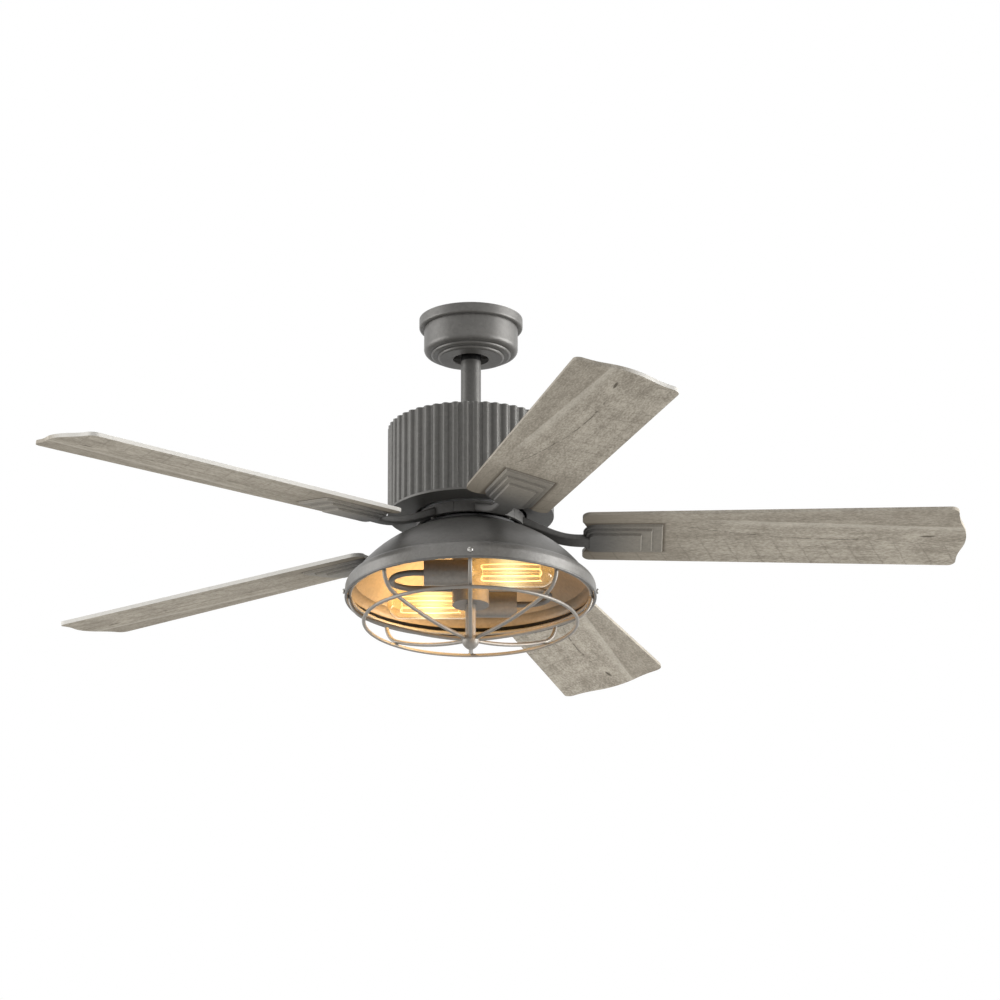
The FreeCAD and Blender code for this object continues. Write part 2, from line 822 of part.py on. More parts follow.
def blade_screw_places():
    inner = blade_screw_inner_row
    spread = blade_screw_spread
    return ((inner, -spread), (inner, spread), (blade_screw_outer_row, 0))


def flat_blade():
    hole = disc(blade_screw_radius + fit_gap, 0, blade_thickness)
    cuts = []
    for x, y in blade_screw_places():
        cut = hole.copy()
        cut.translate(plan(x, y))
        cuts.append(cut)
    return prism(blade_outline(), 0, blade_thickness).cut(cuts)


def blade_screws():
    screw = pan_screw(blade_screw_radius, blade_thickness + blade_screw_bite + blade_washer_height,
                      blade_screw_head_radius, blade_screw_head_height)
    screw.translate(axis_z * blade_washer_height)
    screw = screw.fuse(disc(blade_washer_radius, 0, blade_washer_height)).removeSplitter()
    screw.translate(axis_z * blade_thickness)
    solids = []
    for angle in blade_angles:
        for x, y in blade_screw_places():
            copy = screw.copy()
            copy.translate(plan(x, y))
            solids.append(on_blade(copy, angle))
    return Part.makeCompound(solids)


# Blade irons: a foot that is a fifth of the hub ring, an S-shaped neck and three stepped tiers
def tier_outline(width, start, end):
    half = width / 2
    corner = (half - neck_width / 2) * tier_root_round_share
    bend = corner * (1 - bend_share)
    path = [(start + corner, -half), (end, -half), (end, half), (start + corner, half)]
    path += [(start + bend, half - bend, start, half - corner), (start, -half + corner)]
    path += [(start + bend, -half + bend, start + corner, -half)]
    return path


def tier(index):
    """One step of the plate, drawn in a little towards its lower face."""
    width = tier_widths[index]
    start = tier_starts[index]
    end = tier_ends[index]
    draft = tier_draft
    top = outline(tier_outline(width, start, end), plan)
    low = outline(tier_outline(width - draft * 2, start + draft, end - draft), plan)
    top.translate(axis_z * (-tier_thickness * index))
    low.translate(axis_z * (-tier_thickness * (index + 1)))
    return Part.makeLoft([top, low], True, True)


def neck_section(reach, level, width, height, roll):
    """A rounded rectangle across the neck, in the plane square to X."""
    y = width / 2
    z = height / 2
    c = neck_edge_round
    b = c * (1 - bend_share)
    path = [(-y + c, -z), (y - c, -z), (y - b, -z + b, y, -z + c), (y, z - c), (y - b, z - b, y - c, z)]
    path += [(-y + c, z), (-y + b, z - b, -y, z - c), (-y, -z + c), (-y + b, -z + b, -y + c, -z)]
    wire = outline(path, lambda across, up: FreeCAD.Vector(reach, across, up))
    wire.rotate(side(reach, 0), axis_x, roll)
    wire.translate(axis_z * level)
    return wire


def neck():
    start = foot_radius - foot_skirt / 2
    run = tier_starts[-1] + tier_draft * 2 - start
    top = foot_top - neck_root_drop
    fall = blade_z - neck_height / 2 - top
    sections = []
    for along, down in zip(neck_reach_shares, neck_fall_shares):
        width = neck_root_width + (neck_width - neck_root_width) * down
        height = neck_root_height + (neck_height - neck_root_height) * down
        roll = -blade_pitch * along
        sections.append(neck_section(start + run * along, top + fall * down, width, height, roll))
    return Part.makeLoft(sections, True, False)


def foot():
    skirt = foot_radius - foot_skirt
    shelf = foot_top - foot_sheet
    path = [(foot_inner_radius, foot_top), (foot_radius, foot_top), (foot_radius, foot_bottom)]
    path += [(skirt, foot_bottom), (skirt, shelf), (foot_inner_radius, shelf)]
    seam = math.degrees(foot_seam / foot_radius)
    angle = full_turn / blade_count - seam
    return spun(turned(path, angle), -angle / 2)


def foot_screw_turns():
    return [angle + sign * foot_screw_angle for angle in blade_angles for sign in (-1, 1)]


def blade_iron():
    """The iron of a blade that points along X."""
    plate = tier(0).fuse([tier(1), tier(2)])
    hole = disc(blade_screw_radius + fit_gap, -blade_screw_bite - fit_gap, 0)
    cuts = []
    for x, y in blade_screw_places():
        cut = hole.copy()
        cut.translate(plan(x, y))
        cuts.append(cut)
    body = on_blade(plate, 0).fuse([neck(), foot()])
    cuts = [on_blade(cut, 0) for cut in cuts]
    foot_hole = disc(foot_screw_radius + fit_gap, foot_top - foot_sheet, foot_top)
    for sign in (-1, 1):
        cut = foot_hole.copy()
        cut.translate(polar(foot_screw_circle_radius, sign * foot_screw_angle, 0))
        cuts.append(cut)
    slab_low = FreeCAD.Vector(blade_root_radius, -blade_tip_width, 0)
    above = Part.makeBox(blade_tip_width, blade_tip_width * 2, blade_tip_width, slab_low)
    return body.cut(cuts + [on_blade(above, 0)]).removeSplitter()


def iron_screws():
    length = foot_sheet + hub_floor
    screw = pan_screw(foot_screw_radius, length, foot_screw_head_radius, foot_screw_head_height)
    level = foot_top - foot_sheet
    places = [polar(foot_screw_circle_radius, angle, level) for angle in foot_screw_turns()]
    return Part.makeCompound([placed(screw, place, -axis_z) for place in places])


# Light kit: fitter plate, domed shade with a creased band, hollow post and its cap
def shade_screw_holes(low, high):
    hole = disc(shade_screw_radius + fit_gap, low, high)
    hole.translate(axis_x * shade_screw_circle_radius)
    return ring_of(hole, shade_screw_count)


def light_plate():
    body = tube(plate_radius, shaft_radius + fit_gap, shade_top, plate_top)
    return body.cut(shade_screw_holes(shade_top, plate_top))


def offset_place(place, before, after, wall):
    """Moves a place of the outline inwards, square to the line between its neighbours."""
    run = (after[0] - before[0], after[1] - before[1])
    length = math.hypot(*run)
    return place[0] + run[1] / length * wall, place[1] - run[0] / length * wall


def shade_places():
    neck_place = (shade_neck_radius, shade_top - shade_neck_drop)
    belly = (shade_belly_radius, shade_top - shade_belly_drop)
    crease = (shade_crease_radius, shade_top - shade_crease_drop)
    band = (shade_band_radius, shade_top - shade_band_drop)
    rim = (shade_rim_radius, shade_bottom)
    bulge = ((crease[0] + band[0]) / 2 + shade_wall, (crease[1] + band[1]) / 2 + shade_wall)
    return [(shade_shoulder_radius, shade_top), neck_place, belly, crease, bulge, band, rim]


def shade():
    outer = shade_places()
    bore = shaft_radius + fit_gap
    inner = []
    for i in range(1, len(outer) - 1):
        inner.append(offset_place(outer[i], outer[i - 1], outer[i + 1], shade_wall))
    floor = shade_top - shade_wall
    rim_inner = shade_rim_radius - shade_wall
    shoulder, neck_place, belly, crease, bulge, band, rim = outer
    path = [(bore, shade_top), shoulder, neck_place, belly + crease, bulge + band, rim]
    path += [(rim_inner, shade_bottom), inner[4], inner[3] + inner[2], inner[1] + inner[0]]
    path += [(shade_shoulder_radius, floor), (bore, floor)]
    holes = shade_screw_holes(floor, shade_top)
    hole = rod(cage_screw_radius + fit_gap, side(shade_crease_radius, cage_screw_z),
               side(shade_rim_radius + overrun, cage_screw_z))
    return turned(path).cut(holes + ring_of(hole, cage_screw_count))


def shade_screws():
    screw = pan_screw(shade_screw_radius, shade_wall + plate_sheet, shade_screw_head_radius,
                      shade_screw_head_height)
    screw = placed(screw, side(shade_screw_circle_radius, shade_top - shade_wall), -axis_z)
    return Part.makeCompound(ring_of(screw, shade_screw_count))


def lamp_post():
    bore = shaft_radius + fit_gap
    path = [(bore, post_top), (post_radius, post_top), (post_radius, post_bottom), (post_bore, post_bottom)]
    path += [(post_bore, nut_top), (bore, nut_top)]
    hole = rod(arm_radius + fit_gap, side(-post_radius, lamp_z), side(post_radius, lamp_z))
    return turned(path).cut(hole)


def post_cap():
    spigot = post_bore - fit_gap
    stud = stem_stud_radius + fit_gap
    rise = post_bottom + post_cap_spigot
    path = [(stud, cap_bottom), (post_radius, cap_bottom), (post_radius, post_bottom)]
    path += [(spigot, post_bottom), (spigot, rise), (stud, rise)]
    return turned(path)


def shaft_nut():
    radius = nut_across_flats / 2 / math.cos(math.pi / nut_sides)
    corners = [tuple(polar(radius, full_turn * i / nut_sides, 0))[:2] for i in range(nut_sides)]
    body = prism(corners, nut_top - nut_height, nut_top)
    return body.cut(disc(shaft_radius + fit_gap, nut_top - nut_height, nut_top))


def capacitor():
    reach = post_bore - seat_gap
    half_x = capacitor_width / 2
    half_y = math.sqrt(reach ** 2 - half_x ** 2)
    high = shaft_bottom - capacitor_gap
    return block(-half_x, half_x, -half_y, half_y, high - capacitor_length, high)


# Lamps: bent arm, socket cup, lampholder and tubular bulb, for the lamp on the -Y side
def lamp_arm():
    start = side(-post_bore, lamp_z)
    turn_start = side(-arm_run, lamp_z)
    turn_through = FreeCAD.Vector(-arm_run - lamp_offset / 2, -lamp_offset / 2, lamp_z)
    turn_end = FreeCAD.Vector(-arm_run, -lamp_offset, lamp_z)
    end = FreeCAD.Vector(-socket_length + socket_wall, -lamp_offset, lamp_z)
    edges = [Part.LineSegment(start, turn_start).toShape()]
    edges.append(Part.Arc(turn_start, turn_through, turn_end).toShape())
    edges.append(Part.LineSegment(turn_end, end).toShape())
    return swept(start, axis_x, edges, arm_radius)


def on_lamp(shape):
    """Lays a shape made on the Z axis along the lamp, with zero at the mouth of the socket."""
    return placed(shape, FreeCAD.Vector(0, -lamp_offset, lamp_z), axis_x)


def socket_cup():
    bore = arm_radius + fit_gap
    inner = socket_radius - socket_wall
    path = [(bore, -socket_length), (socket_radius, -socket_length), (socket_radius, 0), (inner, 0)]
    path += [(inner, -socket_length + socket_wall), (bore, -socket_length + socket_wall)]
    return on_lamp(turned(path))


def lampholder():
    outer = socket_radius - socket_wall - fit_gap
    bore = bulb_base_radius + bulb_base_gap
    floor = -holder_setback - holder_bore_depth
    low = -socket_length + socket_wall + seat_gap
    path = [(0, low), (outer, low), (outer, -holder_setback), (bore, -holder_setback)]
    path += [(bore, floor), (0, floor)]
    return on_lamp(turned(path))


def bulb_base():
    floor = -holder_setback - holder_bore_depth
    shoulder = floor + bulb_contact_height
    path = [(0, floor), (bulb_contact_radius, floor), (bulb_contact_radius, shoulder)]
    path += [(bulb_base_radius, shoulder), (bulb_base_radius, -holder_setback), (0, -holder_setback)]
    return on_lamp(turned(path))


def bulb_glass():
    wall = bulb_wall
    low = -holder_setback
    flare = low + bulb_neck_length
    flare_end = flare + bulb_flare_length
    flare_mid_radius = bulb_neck_radius + (bulb_radius - bulb_neck_radius) * bend_share
    flare_mid = flare + bulb_flare_length * (1 - bend_share)
    dome = bulb_length - bulb_radius
    dome_bend = bulb_radius * bend_share
    inner_radius = bulb_radius - wall
    inner_bend = inner_radius * bend_share
    path = [(bulb_neck_radius - wall, low), (bulb_neck_radius, low), (bulb_neck_radius, flare)]
    path += [(flare_mid_radius, flare_mid, bulb_radius, flare_end), (bulb_radius, dome)]
    path += [(dome_bend, dome + dome_bend, 0, bulb_length), (0, bulb_length - wall)]
    path += [(inner_bend, dome + inner_bend, inner_radius, dome), (inner_radius, flare_end)]
    path += [(flare_mid_radius - wall, flare_mid + wall, bulb_neck_radius - wall, flare + wall)]
    return on_lamp(turned(path))


def filament():
    half = filament_wire / 2
    ring = filament_radius
    low = -holder_setback
    path = [(0, low), (mount_radius, low), (mount_radius, filament_start - mount_radius)]
    path += [(mount_rod_radius, filament_start - half), (mount_rod_radius, filament_end + half)]
    path += [(0, filament_end + half)]
    strand = block(ring - half, ring + half, -half, half, filament_start - half, filament_end + half)
    spokes = []
    for level in (filament_start, filament_end):
        spokes.append(block(0, ring, -half, half, level - half, level + half))
    cage = ring_of(strand.fuse(spokes), filament_count)
    return on_lamp(turned(path).fuse(cage).removeSplitter())


def pair(shape):
    return Part.makeCompound([shape, spun(shape, half_turn)])


# Cage: upper ring with screw tabs, lower ring, ribs welded inside it, collar, stem and finial
def cage_top_ring():
    ring = Part.makeTorus(cage_top_radius, ring_wire_radius, axis_z * cage_top_z)
    half = cage_tab_width / 2
    tab = block(cage_top_radius, cage_top_radius + cage_tab_thickness, -half, half,
                cage_top_z, cage_top_z + cage_tab_height)
    hole = rod(cage_screw_radius + fit_gap, side(cage_top_radius - overrun, cage_screw_z),
               side(cage_top_radius + cage_tab_thickness + overrun, cage_screw_z))
    return ring.fuse(ring_of(tab.cut(hole), cage_screw_count))


def cage_lower_ring():
    return Part.makeTorus(cage_ring_radius, ring_wire_radius, axis_z * cage_ring_z)


def chord_heading(start, end):
    """Degrees below the way inwards, in the XZ plane."""
    return math.degrees(math.atan2(start.z - end.z, start.x - end.x))


def tangent_arc(start, heading, end):
    """An arc in the XZ plane that leaves its start at a heading."""
    chord = end - start
    half_bend = math.radians(heading - chord_heading(start, end)) / 2
    sag = chord.Length / 2 * math.tan(half_bend)
    normal = FreeCAD.Vector(chord.z, 0, -chord.x).normalize()
    return Part.Arc(start, start + chord / 2 - normal * sag, end).toShape()


def cage_ribs():
    weld = ring_wire_radius + rib_radius + seat_gap
    turn = math.radians(rib_weld_angle)
    start = side(cage_top_radius, cage_top_z - ring_wire_radius - seat_gap)
    bend = side(cage_ring_radius - weld * math.sin(turn), cage_ring_z + weld * math.cos(turn))
    end = side(collar_radius + seat_gap, stem_bottom + collar_height / 2)
    heading = 2 * chord_heading(start, bend) - rib_weld_angle
    upper = tangent_arc(start, heading, bend)
    lower = tangent_arc(bend, rib_weld_angle, end)
    first_turn = math.radians(heading)
    first_way = side(-math.cos(first_turn), -math.sin(first_turn))
    rib = swept(start, first_way, [upper, lower], rib_radius)
    collar = tube(collar_radius, stem_radius + fit_gap, stem_bottom, stem_bottom + collar_height)
    return Part.makeCompound(ring_of(rib, rib_count) + [collar])


def stem():
    stud_top = post_bottom + post_cap_spigot
    path = [(0, stem_bottom), (stem_radius, stem_bottom), (stem_radius, cap_bottom)]
    path += [(stem_stud_radius, cap_bottom), (stem_stud_radius, stud_top), (0, stud_top)]
    return turned(path)


def finial():
    low = stem_bottom - finial_length
    belly_drop = finial_length * finial_belly_share * bend_share
    belly = (collar_radius * finial_belly_share, stem_bottom - belly_drop)
    path = [(0, stem_bottom), (collar_radius, stem_bottom), belly + (finial_tip_radius, low), (0, low)]
    return turned(path)


def cage_screws():
    length = cage_inset + cage_screw_bite
    screw = pan_screw(cage_screw_radius, length, cage_screw_head_radius, cage_screw_head_height)
    screw = placed(screw, side(shade_rim_radius, cage_screw_z), axis_x)
    return Part.makeCompound(ring_of(screw, cage_screw_count))


# Every node by name, then one file each
nodes = {
    "hanger_bracket": hanger_bracket(),
    "canopy": canopy(),
    "canopy_ring": canopy_ring(),
    "canopy_screws": canopy_screws(),
    "hanger_ball": hanger_ball(),
    "hanger_pins": hanger_pins(),
    "downrod": downrod(),
    "yoke": yoke(),
    "coupling_cover": coupling_cover(),
    "housing_lid": housing_lid(),
    "housing_shell": housing_shell(),
    "bottom_cover": bottom_cover(),
    "housing_screws": housing_screws(),
    "reverse_switch": reverse_switch(),
    "reverse_slider": reverse_slider(),
    "motor_shaft": motor_shaft(),
    "stator_core": stator_core(),
    "stator_windings": stator_windings(),
    "bearing_inner_rings": bearing_rings(shaft_radius + fit_gap, bearing_race_radius),
    "bearing_outer_rings": bearing_rings(bearing_race_radius + fit_gap, bearing_radius),
    "rotor_core": tube(rotor_core_radius, stator_radius + air_gap, core_bottom, core_top),
    "upper_bell": upper_bell(),
    "lower_bell": lower_bell(),
    "rotor_bolts": rotor_bolts(),
    "iron_screws": iron_screws(),
    "blade_screws": blade_screws(),
    "light_plate": light_plate(),
    "shade": shade(),
    "shade_screws": shade_screws(),
    "lamp_post": lamp_post(),
    "post_cap": post_cap(),
    "shaft_nut": shaft_nut(),
    "capacitor": capacitor(),
    "lampholders": pair(lampholder()),
    "bulb_bases": pair(bulb_base()),
    "cage_top_ring": cage_top_ring(),
    "cage_lower_ring": cage_lower_ring(),
    "cage_ribs": cage_ribs(),
    "stem": stem(),
    "finial": finial(),
    "cage_screws": cage_screws(),
}

iron = blade_iron()
board = flat_blade()
for number, angle in enumerate(blade_angles, start=1):
    nodes["blade_iron_%d" % number] = spun(iron, angle)
    nodes["blade_%d" % number] = on_blade(board, angle)

for name, make in (("lamp_arm", lamp_arm), ("socket_cup", socket_cup), ("bulb_glass", bulb_glass),
                   ("filament", filament)):
    piece = make()
    nodes[name + "_1"] = piece
    nodes[name + "_2"] = spun(piece, half_turn)

for name, shape in nodes.items():
    solids = shape.Solids
    if not solids or not shape.isValid():
        raise ValueError("node %s is not a valid solid" % name)
    shape.exportStep("parts/%s.step" % name)
print(len(nodes), "nodes written")
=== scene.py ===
import json
import math
import bpy
import numpy as np
from mathutils import Matrix, Vector


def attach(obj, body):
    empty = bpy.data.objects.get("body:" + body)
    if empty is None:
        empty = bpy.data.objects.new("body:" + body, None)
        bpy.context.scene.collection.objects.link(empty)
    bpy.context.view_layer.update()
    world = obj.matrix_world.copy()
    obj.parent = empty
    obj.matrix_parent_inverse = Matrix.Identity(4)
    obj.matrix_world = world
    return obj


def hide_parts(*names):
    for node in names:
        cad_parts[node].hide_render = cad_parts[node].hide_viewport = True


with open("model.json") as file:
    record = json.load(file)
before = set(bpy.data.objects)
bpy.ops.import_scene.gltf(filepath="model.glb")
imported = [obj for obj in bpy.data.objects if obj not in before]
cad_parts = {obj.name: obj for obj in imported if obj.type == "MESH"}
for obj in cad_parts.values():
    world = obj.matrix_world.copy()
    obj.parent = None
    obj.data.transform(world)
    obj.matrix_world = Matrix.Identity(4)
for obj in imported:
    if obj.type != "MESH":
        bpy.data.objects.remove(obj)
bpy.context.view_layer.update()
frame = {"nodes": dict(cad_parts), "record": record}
nodes = frame["nodes"]
print("frame loaded:", len(nodes), "nodes")

# where the blades and the lamps lie, in metres and radians
fan = {"blades": 5, "bladeHeight": -0.3104, "pitch": math.radians(-11.5)}
lampPlace = {"offset": -0.065, "height": -0.3825, "turns": (0.0, math.pi)}
bladeTurns = [-2 * math.pi * i / fan["blades"] for i in range(fan["blades"])]
upward, outward, downward = (0.0, 0.0, 1.0), (1.0, 0.0, 0.0), (0.0, 0.0, -1.0)


# shader helpers: each adds its nodes and gives back the result
def addNode(tree, kind, values, **settings):
    node = tree.nodes.new(kind)
    for name, value in settings.items():
        setattr(node, name, value)
    for name, value in values.items():
        if isinstance(value, bpy.types.NodeSocket):
            tree.links.new(value, node.inputs[name])
        else:
            node.inputs[name].default_value = value
    return node


def calc(tree, operation, first, second=0.0, third=0.0):
    values = {0: first, 1: second, 2: third}
    return addNode(tree, "ShaderNodeMath", values, operation=operation).outputs[0]


def multiply(tree, *values):
    result = values[0]
    for value in values[1:]:
        result = calc(tree, "MULTIPLY", result, value)
    return result


def weighed(tree, terms):  # sum of each value times its weight
    result = 0.0
    for value, weight in terms:
        result = calc(tree, "MULTIPLY_ADD", value, weight, result)
    return result


def squareSum(tree, first, second):  # both values squared and added
    return calc(tree, "ADD", calc(tree, "POWER", first, 2.0), calc(tree, "POWER", second, 2.0))


def dotProduct(tree, first, second):
    node = addNode(tree, "ShaderNodeVectorMath", {0: first, 1: second}, operation="DOT_PRODUCT")
    return node.outputs["Value"]


def rampUp(tree, value, low, high):  # 0 before low, 1 past high, smooth between, either way round
    values = {"Value": value, "From Min": low, "From Max": high}
    return addNode(tree, "ShaderNodeMapRange", values, interpolation_type="SMOOTHSTEP").outputs["Result"]


def spread(tree, value, limits):  # 0 to 1 laid out between two limits
    values = {"Value": value, "To Min": limits[0], "To Max": limits[1]}
    return addNode(tree, "ShaderNodeMapRange", values).outputs["Result"]


def between(tree, value, low, high, soft):  # 1 from low to high, fading over soft at both ends
    rise = rampUp(tree, value, low - soft, low + soft)
    fall = rampUp(tree, value, high - soft, high + soft)
    return calc(tree, "SUBTRACT", rise, fall)


def noise(tree, vector, texture):  # texture is scale, detail and roughness
    values = {"Vector": vector, "Scale": texture[0], "Detail": texture[1], "Roughness": texture[2]}
    return addNode(tree, "ShaderNodeTexNoise", values).outputs[0]


def mapped(tree, vector, scale=(1.0, 1.0, 1.0), turn=0.0):
    values = {"Vector": vector, "Scale": scale, "Rotation": (0.0, 0.0, turn)}
    return addNode(tree, "ShaderNodeMapping", values).outputs[0]


def axesOf(tree, vector):
    return addNode(tree, "ShaderNodeSeparateXYZ", {0: vector}).outputs


def normalOf(tree):  # in the piece's own axes
    return tree.nodes["Texture Coordinate"].outputs["Normal"]


def distanceOut(tree, place):  # from the fan's axis
    axes = axesOf(tree, place)
    return calc(tree, "SQRT", squareSum(tree, axes["X"], axes["Y"]))


def blend(tree, share, first, second):
    values = {0: share, 6: first, 7: second}
    return addNode(tree, "ShaderNodeMix", values, data_type="RGBA").outputs[2]


def bump(tree, shader, height, relief):  # relief is strength and depth
    values = {"Height": height, "Strength": relief[0], "Distance": relief[1]}
    tree.links.new(addNode(tree, "ShaderNodeBump", values).outputs[0], shader.inputs["Normal"])


def newMaterial(name):
    material = bpy.data.materials.new(name)
    material.use_nodes = True
    tree = material.node_tree
    place = tree.nodes.new("ShaderNodeTexCoord").outputs["Object"]
    return material, tree, tree.nodes["Principled BSDF"], place


# galvanised grey: cloudy tone, crystal spangle and fine grain
zinc = {
    "dark": (0.080, 0.077, 0.072, 1.0), "light": (0.163, 0.158, 0.149, 1.0), "metallic": 0.45,
    "rough": (0.37, 0.49), "cloud": (24.0, 4.0, 0.6), "grain": (1100.0, 3.0, 0.7), "spangle": 260.0,
    "cloudWeight": 0.45, "grainWeight": 0.35, "spangleWeight": 0.22, "bump": (0.12, 0.0006),
}
# the same finish in the tones of other pieces, and more matt on the irons
guardZinc = dict(zinc, dark=(0.162, 0.149, 0.131, 1.0), light=(0.292, 0.270, 0.240, 1.0))
# housing: a darker copy of the finish, painted shade on the housing and its bottom cover
housingShadedZinc = dict(zinc, dark=(0.063, 0.061, 0.056, 1.0), light=(0.132, 0.128, 0.120, 1.0))
rodZinc = dict(zinc, dark=(0.055, 0.053, 0.049, 1.0), light=(0.114, 0.111, 0.104, 1.0))
socketZinc = dict(zinc, dark=(0.118, 0.109, 0.097, 1.0), light=(0.238, 0.221, 0.197, 1.0))
ironZinc = dict(zinc, dark=(0.060, 0.058, 0.054, 1.0), light=(0.122, 0.118, 0.112, 1.0),
                metallic=0.15, rough=(0.55, 0.70))


def zincFinish(name, spec, change=None):  # change lays other tones over parts of the piece
    material, tree, shader, place = newMaterial(name)
    cloud = noise(tree, place, spec["cloud"])
    grain = noise(tree, place, spec["grain"])
    crystal = addNode(tree, "ShaderNodeTexVoronoi", {"Vector": place, "Scale": spec["spangle"]})
    spangle = axesOf(tree, crystal.outputs["Color"])[0]
    tone = weighed(tree, ((cloud, spec["cloudWeight"]), (grain, spec["grainWeight"]),
                          (spangle, spec["spangleWeight"])))
    colour = blend(tree, tone, spec["dark"], spec["light"])
    if change:
        colour = change(tree, place, tone, colour)
    tree.links.new(colour, shader.inputs["Base Color"])
    tree.links.new(spread(tree, cloud, spec["rough"]), shader.inputs["Roughness"])
    shader.inputs["Metallic"].default_value = spec["metallic"]
    bump(tree, shader, grain, spec["bump"])
    return material


# shade: a paler band below the crease as painted light, a pale inside warmed by painted lamplight, and a
# black line inside the rim as painted shadow
shadePaintedLight = {
    "bandTop": -0.3697, "litBandDark": (0.122, 0.118, 0.111, 1.0), "litBandLight": (0.248, 0.241, 0.228, 1.0),
    "innerLampLitDark": (0.134, 0.108, 0.077, 1.0), "innerLampLitLight": (0.274, 0.222, 0.162, 1.0),
    "black": (0.003, 0.003, 0.003, 1.0), "shadowLineRadius": 0.1664, "shadowLineEnds": (-0.3960, -0.3820),
    "soft": 0.0004, "centre": (0.0, 0.0, -0.43),
}


def paintedLightOnShade(tree, place, tone, colour):
    top, soft = shadePaintedLight["bandTop"], shadePaintedLight["soft"]
    height = axesOf(tree, place)["Z"]
    # painted light: the band below the crease is paler
    band = rampUp(tree, height, top + soft, top - soft)
    colour = blend(tree, band, colour, blend(tree, tone, shadePaintedLight["litBandDark"], shadePaintedLight["litBandLight"]))
    # a face that looks back to the shade's centre is inside
    reach = addNode(tree, "ShaderNodeVectorMath", {0: place, 1: shadePaintedLight["centre"]}, operation="SUBTRACT")
    facing = dotProduct(tree, reach.outputs[0], normalOf(tree))
    # painted lamplight: a paler inner paint, warmed as if lit by the lamps
    warm = blend(tree, tone, shadePaintedLight["innerLampLitDark"], shadePaintedLight["innerLampLitLight"])
    colour = blend(tree, calc(tree, "LESS_THAN", facing, 0.0), colour, warm)
    # painted shadow: a black line on the inside of the rim
    inner = calc(tree, "LESS_THAN", distanceOut(tree, place), shadePaintedLight["shadowLineRadius"])
    line = between(tree, height, *shadePaintedLight["shadowLineEnds"], soft)
    return blend(tree, multiply(tree, inner, line), colour, shadePaintedLight["black"])


# rod: black where it enters the canopy
rodTop = {"black": (0.004, 0.004, 0.004, 1.0), "height": -0.0607, "soft": 0.0006}


def blackOnRod(tree, place, tone, colour):
    height, edge, soft = axesOf(tree, place)["Z"], rodTop["height"], rodTop["soft"]
    return blend(tree, rampUp(tree, height, edge - soft, edge + soft), colour, rodTop["black"])


# iron: paler like the wood out on the plate as painted light from below, its edges partly rubbed and partly
# painted highlight, and painted shade in the corners
ironPlate = {
    "dark": (0.134, 0.121, 0.099, 1.0), "light": (0.284, 0.258, 0.216, 1.0), "plateRamp": (0.152, 0.238),
    "rubAndHighlight": (0.380, 0.355, 0.315, 1.0), "rubRadius": 0.0011, "rubRamp": (0.99, 0.88), "rubAndHighlightShare": 0.75,
    "cornerShade": (0.024, 0.022, 0.019, 1.0), "cornerShadeReach": 0.007, "cornerShadeRamp": (0.90, 0.45), "cornerShadeShare": 0.95,
    "samples": 6,
}


def paintedLightOnPlate(tree, place, tone, colour):
    samples = ironPlate["samples"]
    # painted light from below: the plate is paler than the neck
    share = rampUp(tree, distanceOut(tree, place), *ironPlate["plateRamp"])
    colour = blend(tree, share, colour, blend(tree, tone, ironPlate["dark"], ironPlate["light"]))
    # pale edges: partly rubbed wear, partly painted highlight
    rounded = addNode(tree, "ShaderNodeBevel", {"Radius": ironPlate["rubRadius"]}, samples=samples)
    flat = tree.nodes.new("ShaderNodeNewGeometry").outputs["Normal"]
    edge = rampUp(tree, dotProduct(tree, rounded.outputs[0], flat), *ironPlate["rubRamp"])
    colour = blend(tree, multiply(tree, edge, share, ironPlate["rubAndHighlightShare"]), colour, ironPlate["rubAndHighlight"])
    # painted shade: occlusion darkens the corners
    corner = addNode(tree, "ShaderNodeAmbientOcclusion", {"Distance": ironPlate["cornerShadeReach"]},
                     samples=samples, only_local=True)
    cornerShade = rampUp(tree, corner.outputs["AO"], *ironPlate["cornerShadeRamp"])
    return blend(tree, multiply(tree, cornerShade, ironPlate["cornerShadeShare"]), colour, ironPlate["cornerShade"])


# weathered grey oak: the blade lies along X once its turn is taken off
oak = {
    "dark": (0.229, 0.202, 0.163, 1.0), "light": (0.478, 0.435, 0.365, 1.0), "toneRamp": (0.36, 0.64),
    "texture": (1.0, 5.0, 0.65), "speckle": (170.0, 430.0, 430.0), "speckleWeight": 0.50,
    "streak": (6.0, 95.0, 95.0), "streakWeight": 0.22, "cloud": (20.0, 34.0, 34.0), "cloudWeight": 0.28,
    "meanCloud": 0.5, "root": (0.36, 0.13), "mark": (0.080, 0.066, 0.050, 1.0),
    "rough": 0.80, "gloss": 0.08, "bump": (0.05, 0.0004),
}

# seam: a pale line that drifts in from the leading edge, with a darker strip outside it
oakSeam = {
    "start": 0.364, "across": -0.0426, "slope": 0.06, "soft": 0.0012, "fade": 0.016, "along": (0.29, 0.38),
    "stripShade": 0.25, "pale": (0.560, 0.520, 0.450, 1.0), "paleShare": 0.38,
}


def seamOnOak(tree, axes, colour):
    soft = oakSeam["soft"]
    offStart = calc(tree, "SUBTRACT", axes["X"], oakSeam["start"])
    seam = calc(tree, "MULTIPLY_ADD", offStart, oakSeam["slope"], oakSeam["across"])
    offSeam = calc(tree, "SUBTRACT", axes["Y"], seam)
    reach = rampUp(tree, axes["X"], *oakSeam["along"])
    strip = multiply(tree, rampUp(tree, offSeam, soft, -soft), reach, oakSeam["stripShade"])
    colour = blend(tree, strip, colour, oak["dark"])
    crisp = rampUp(tree, offSeam, -soft, soft)
    line = multiply(tree, crisp, rampUp(tree, offSeam, oakSeam["fade"], 0.0), reach, oakSeam["paleShare"])
    return blend(tree, line, colour, oakSeam["pale"])


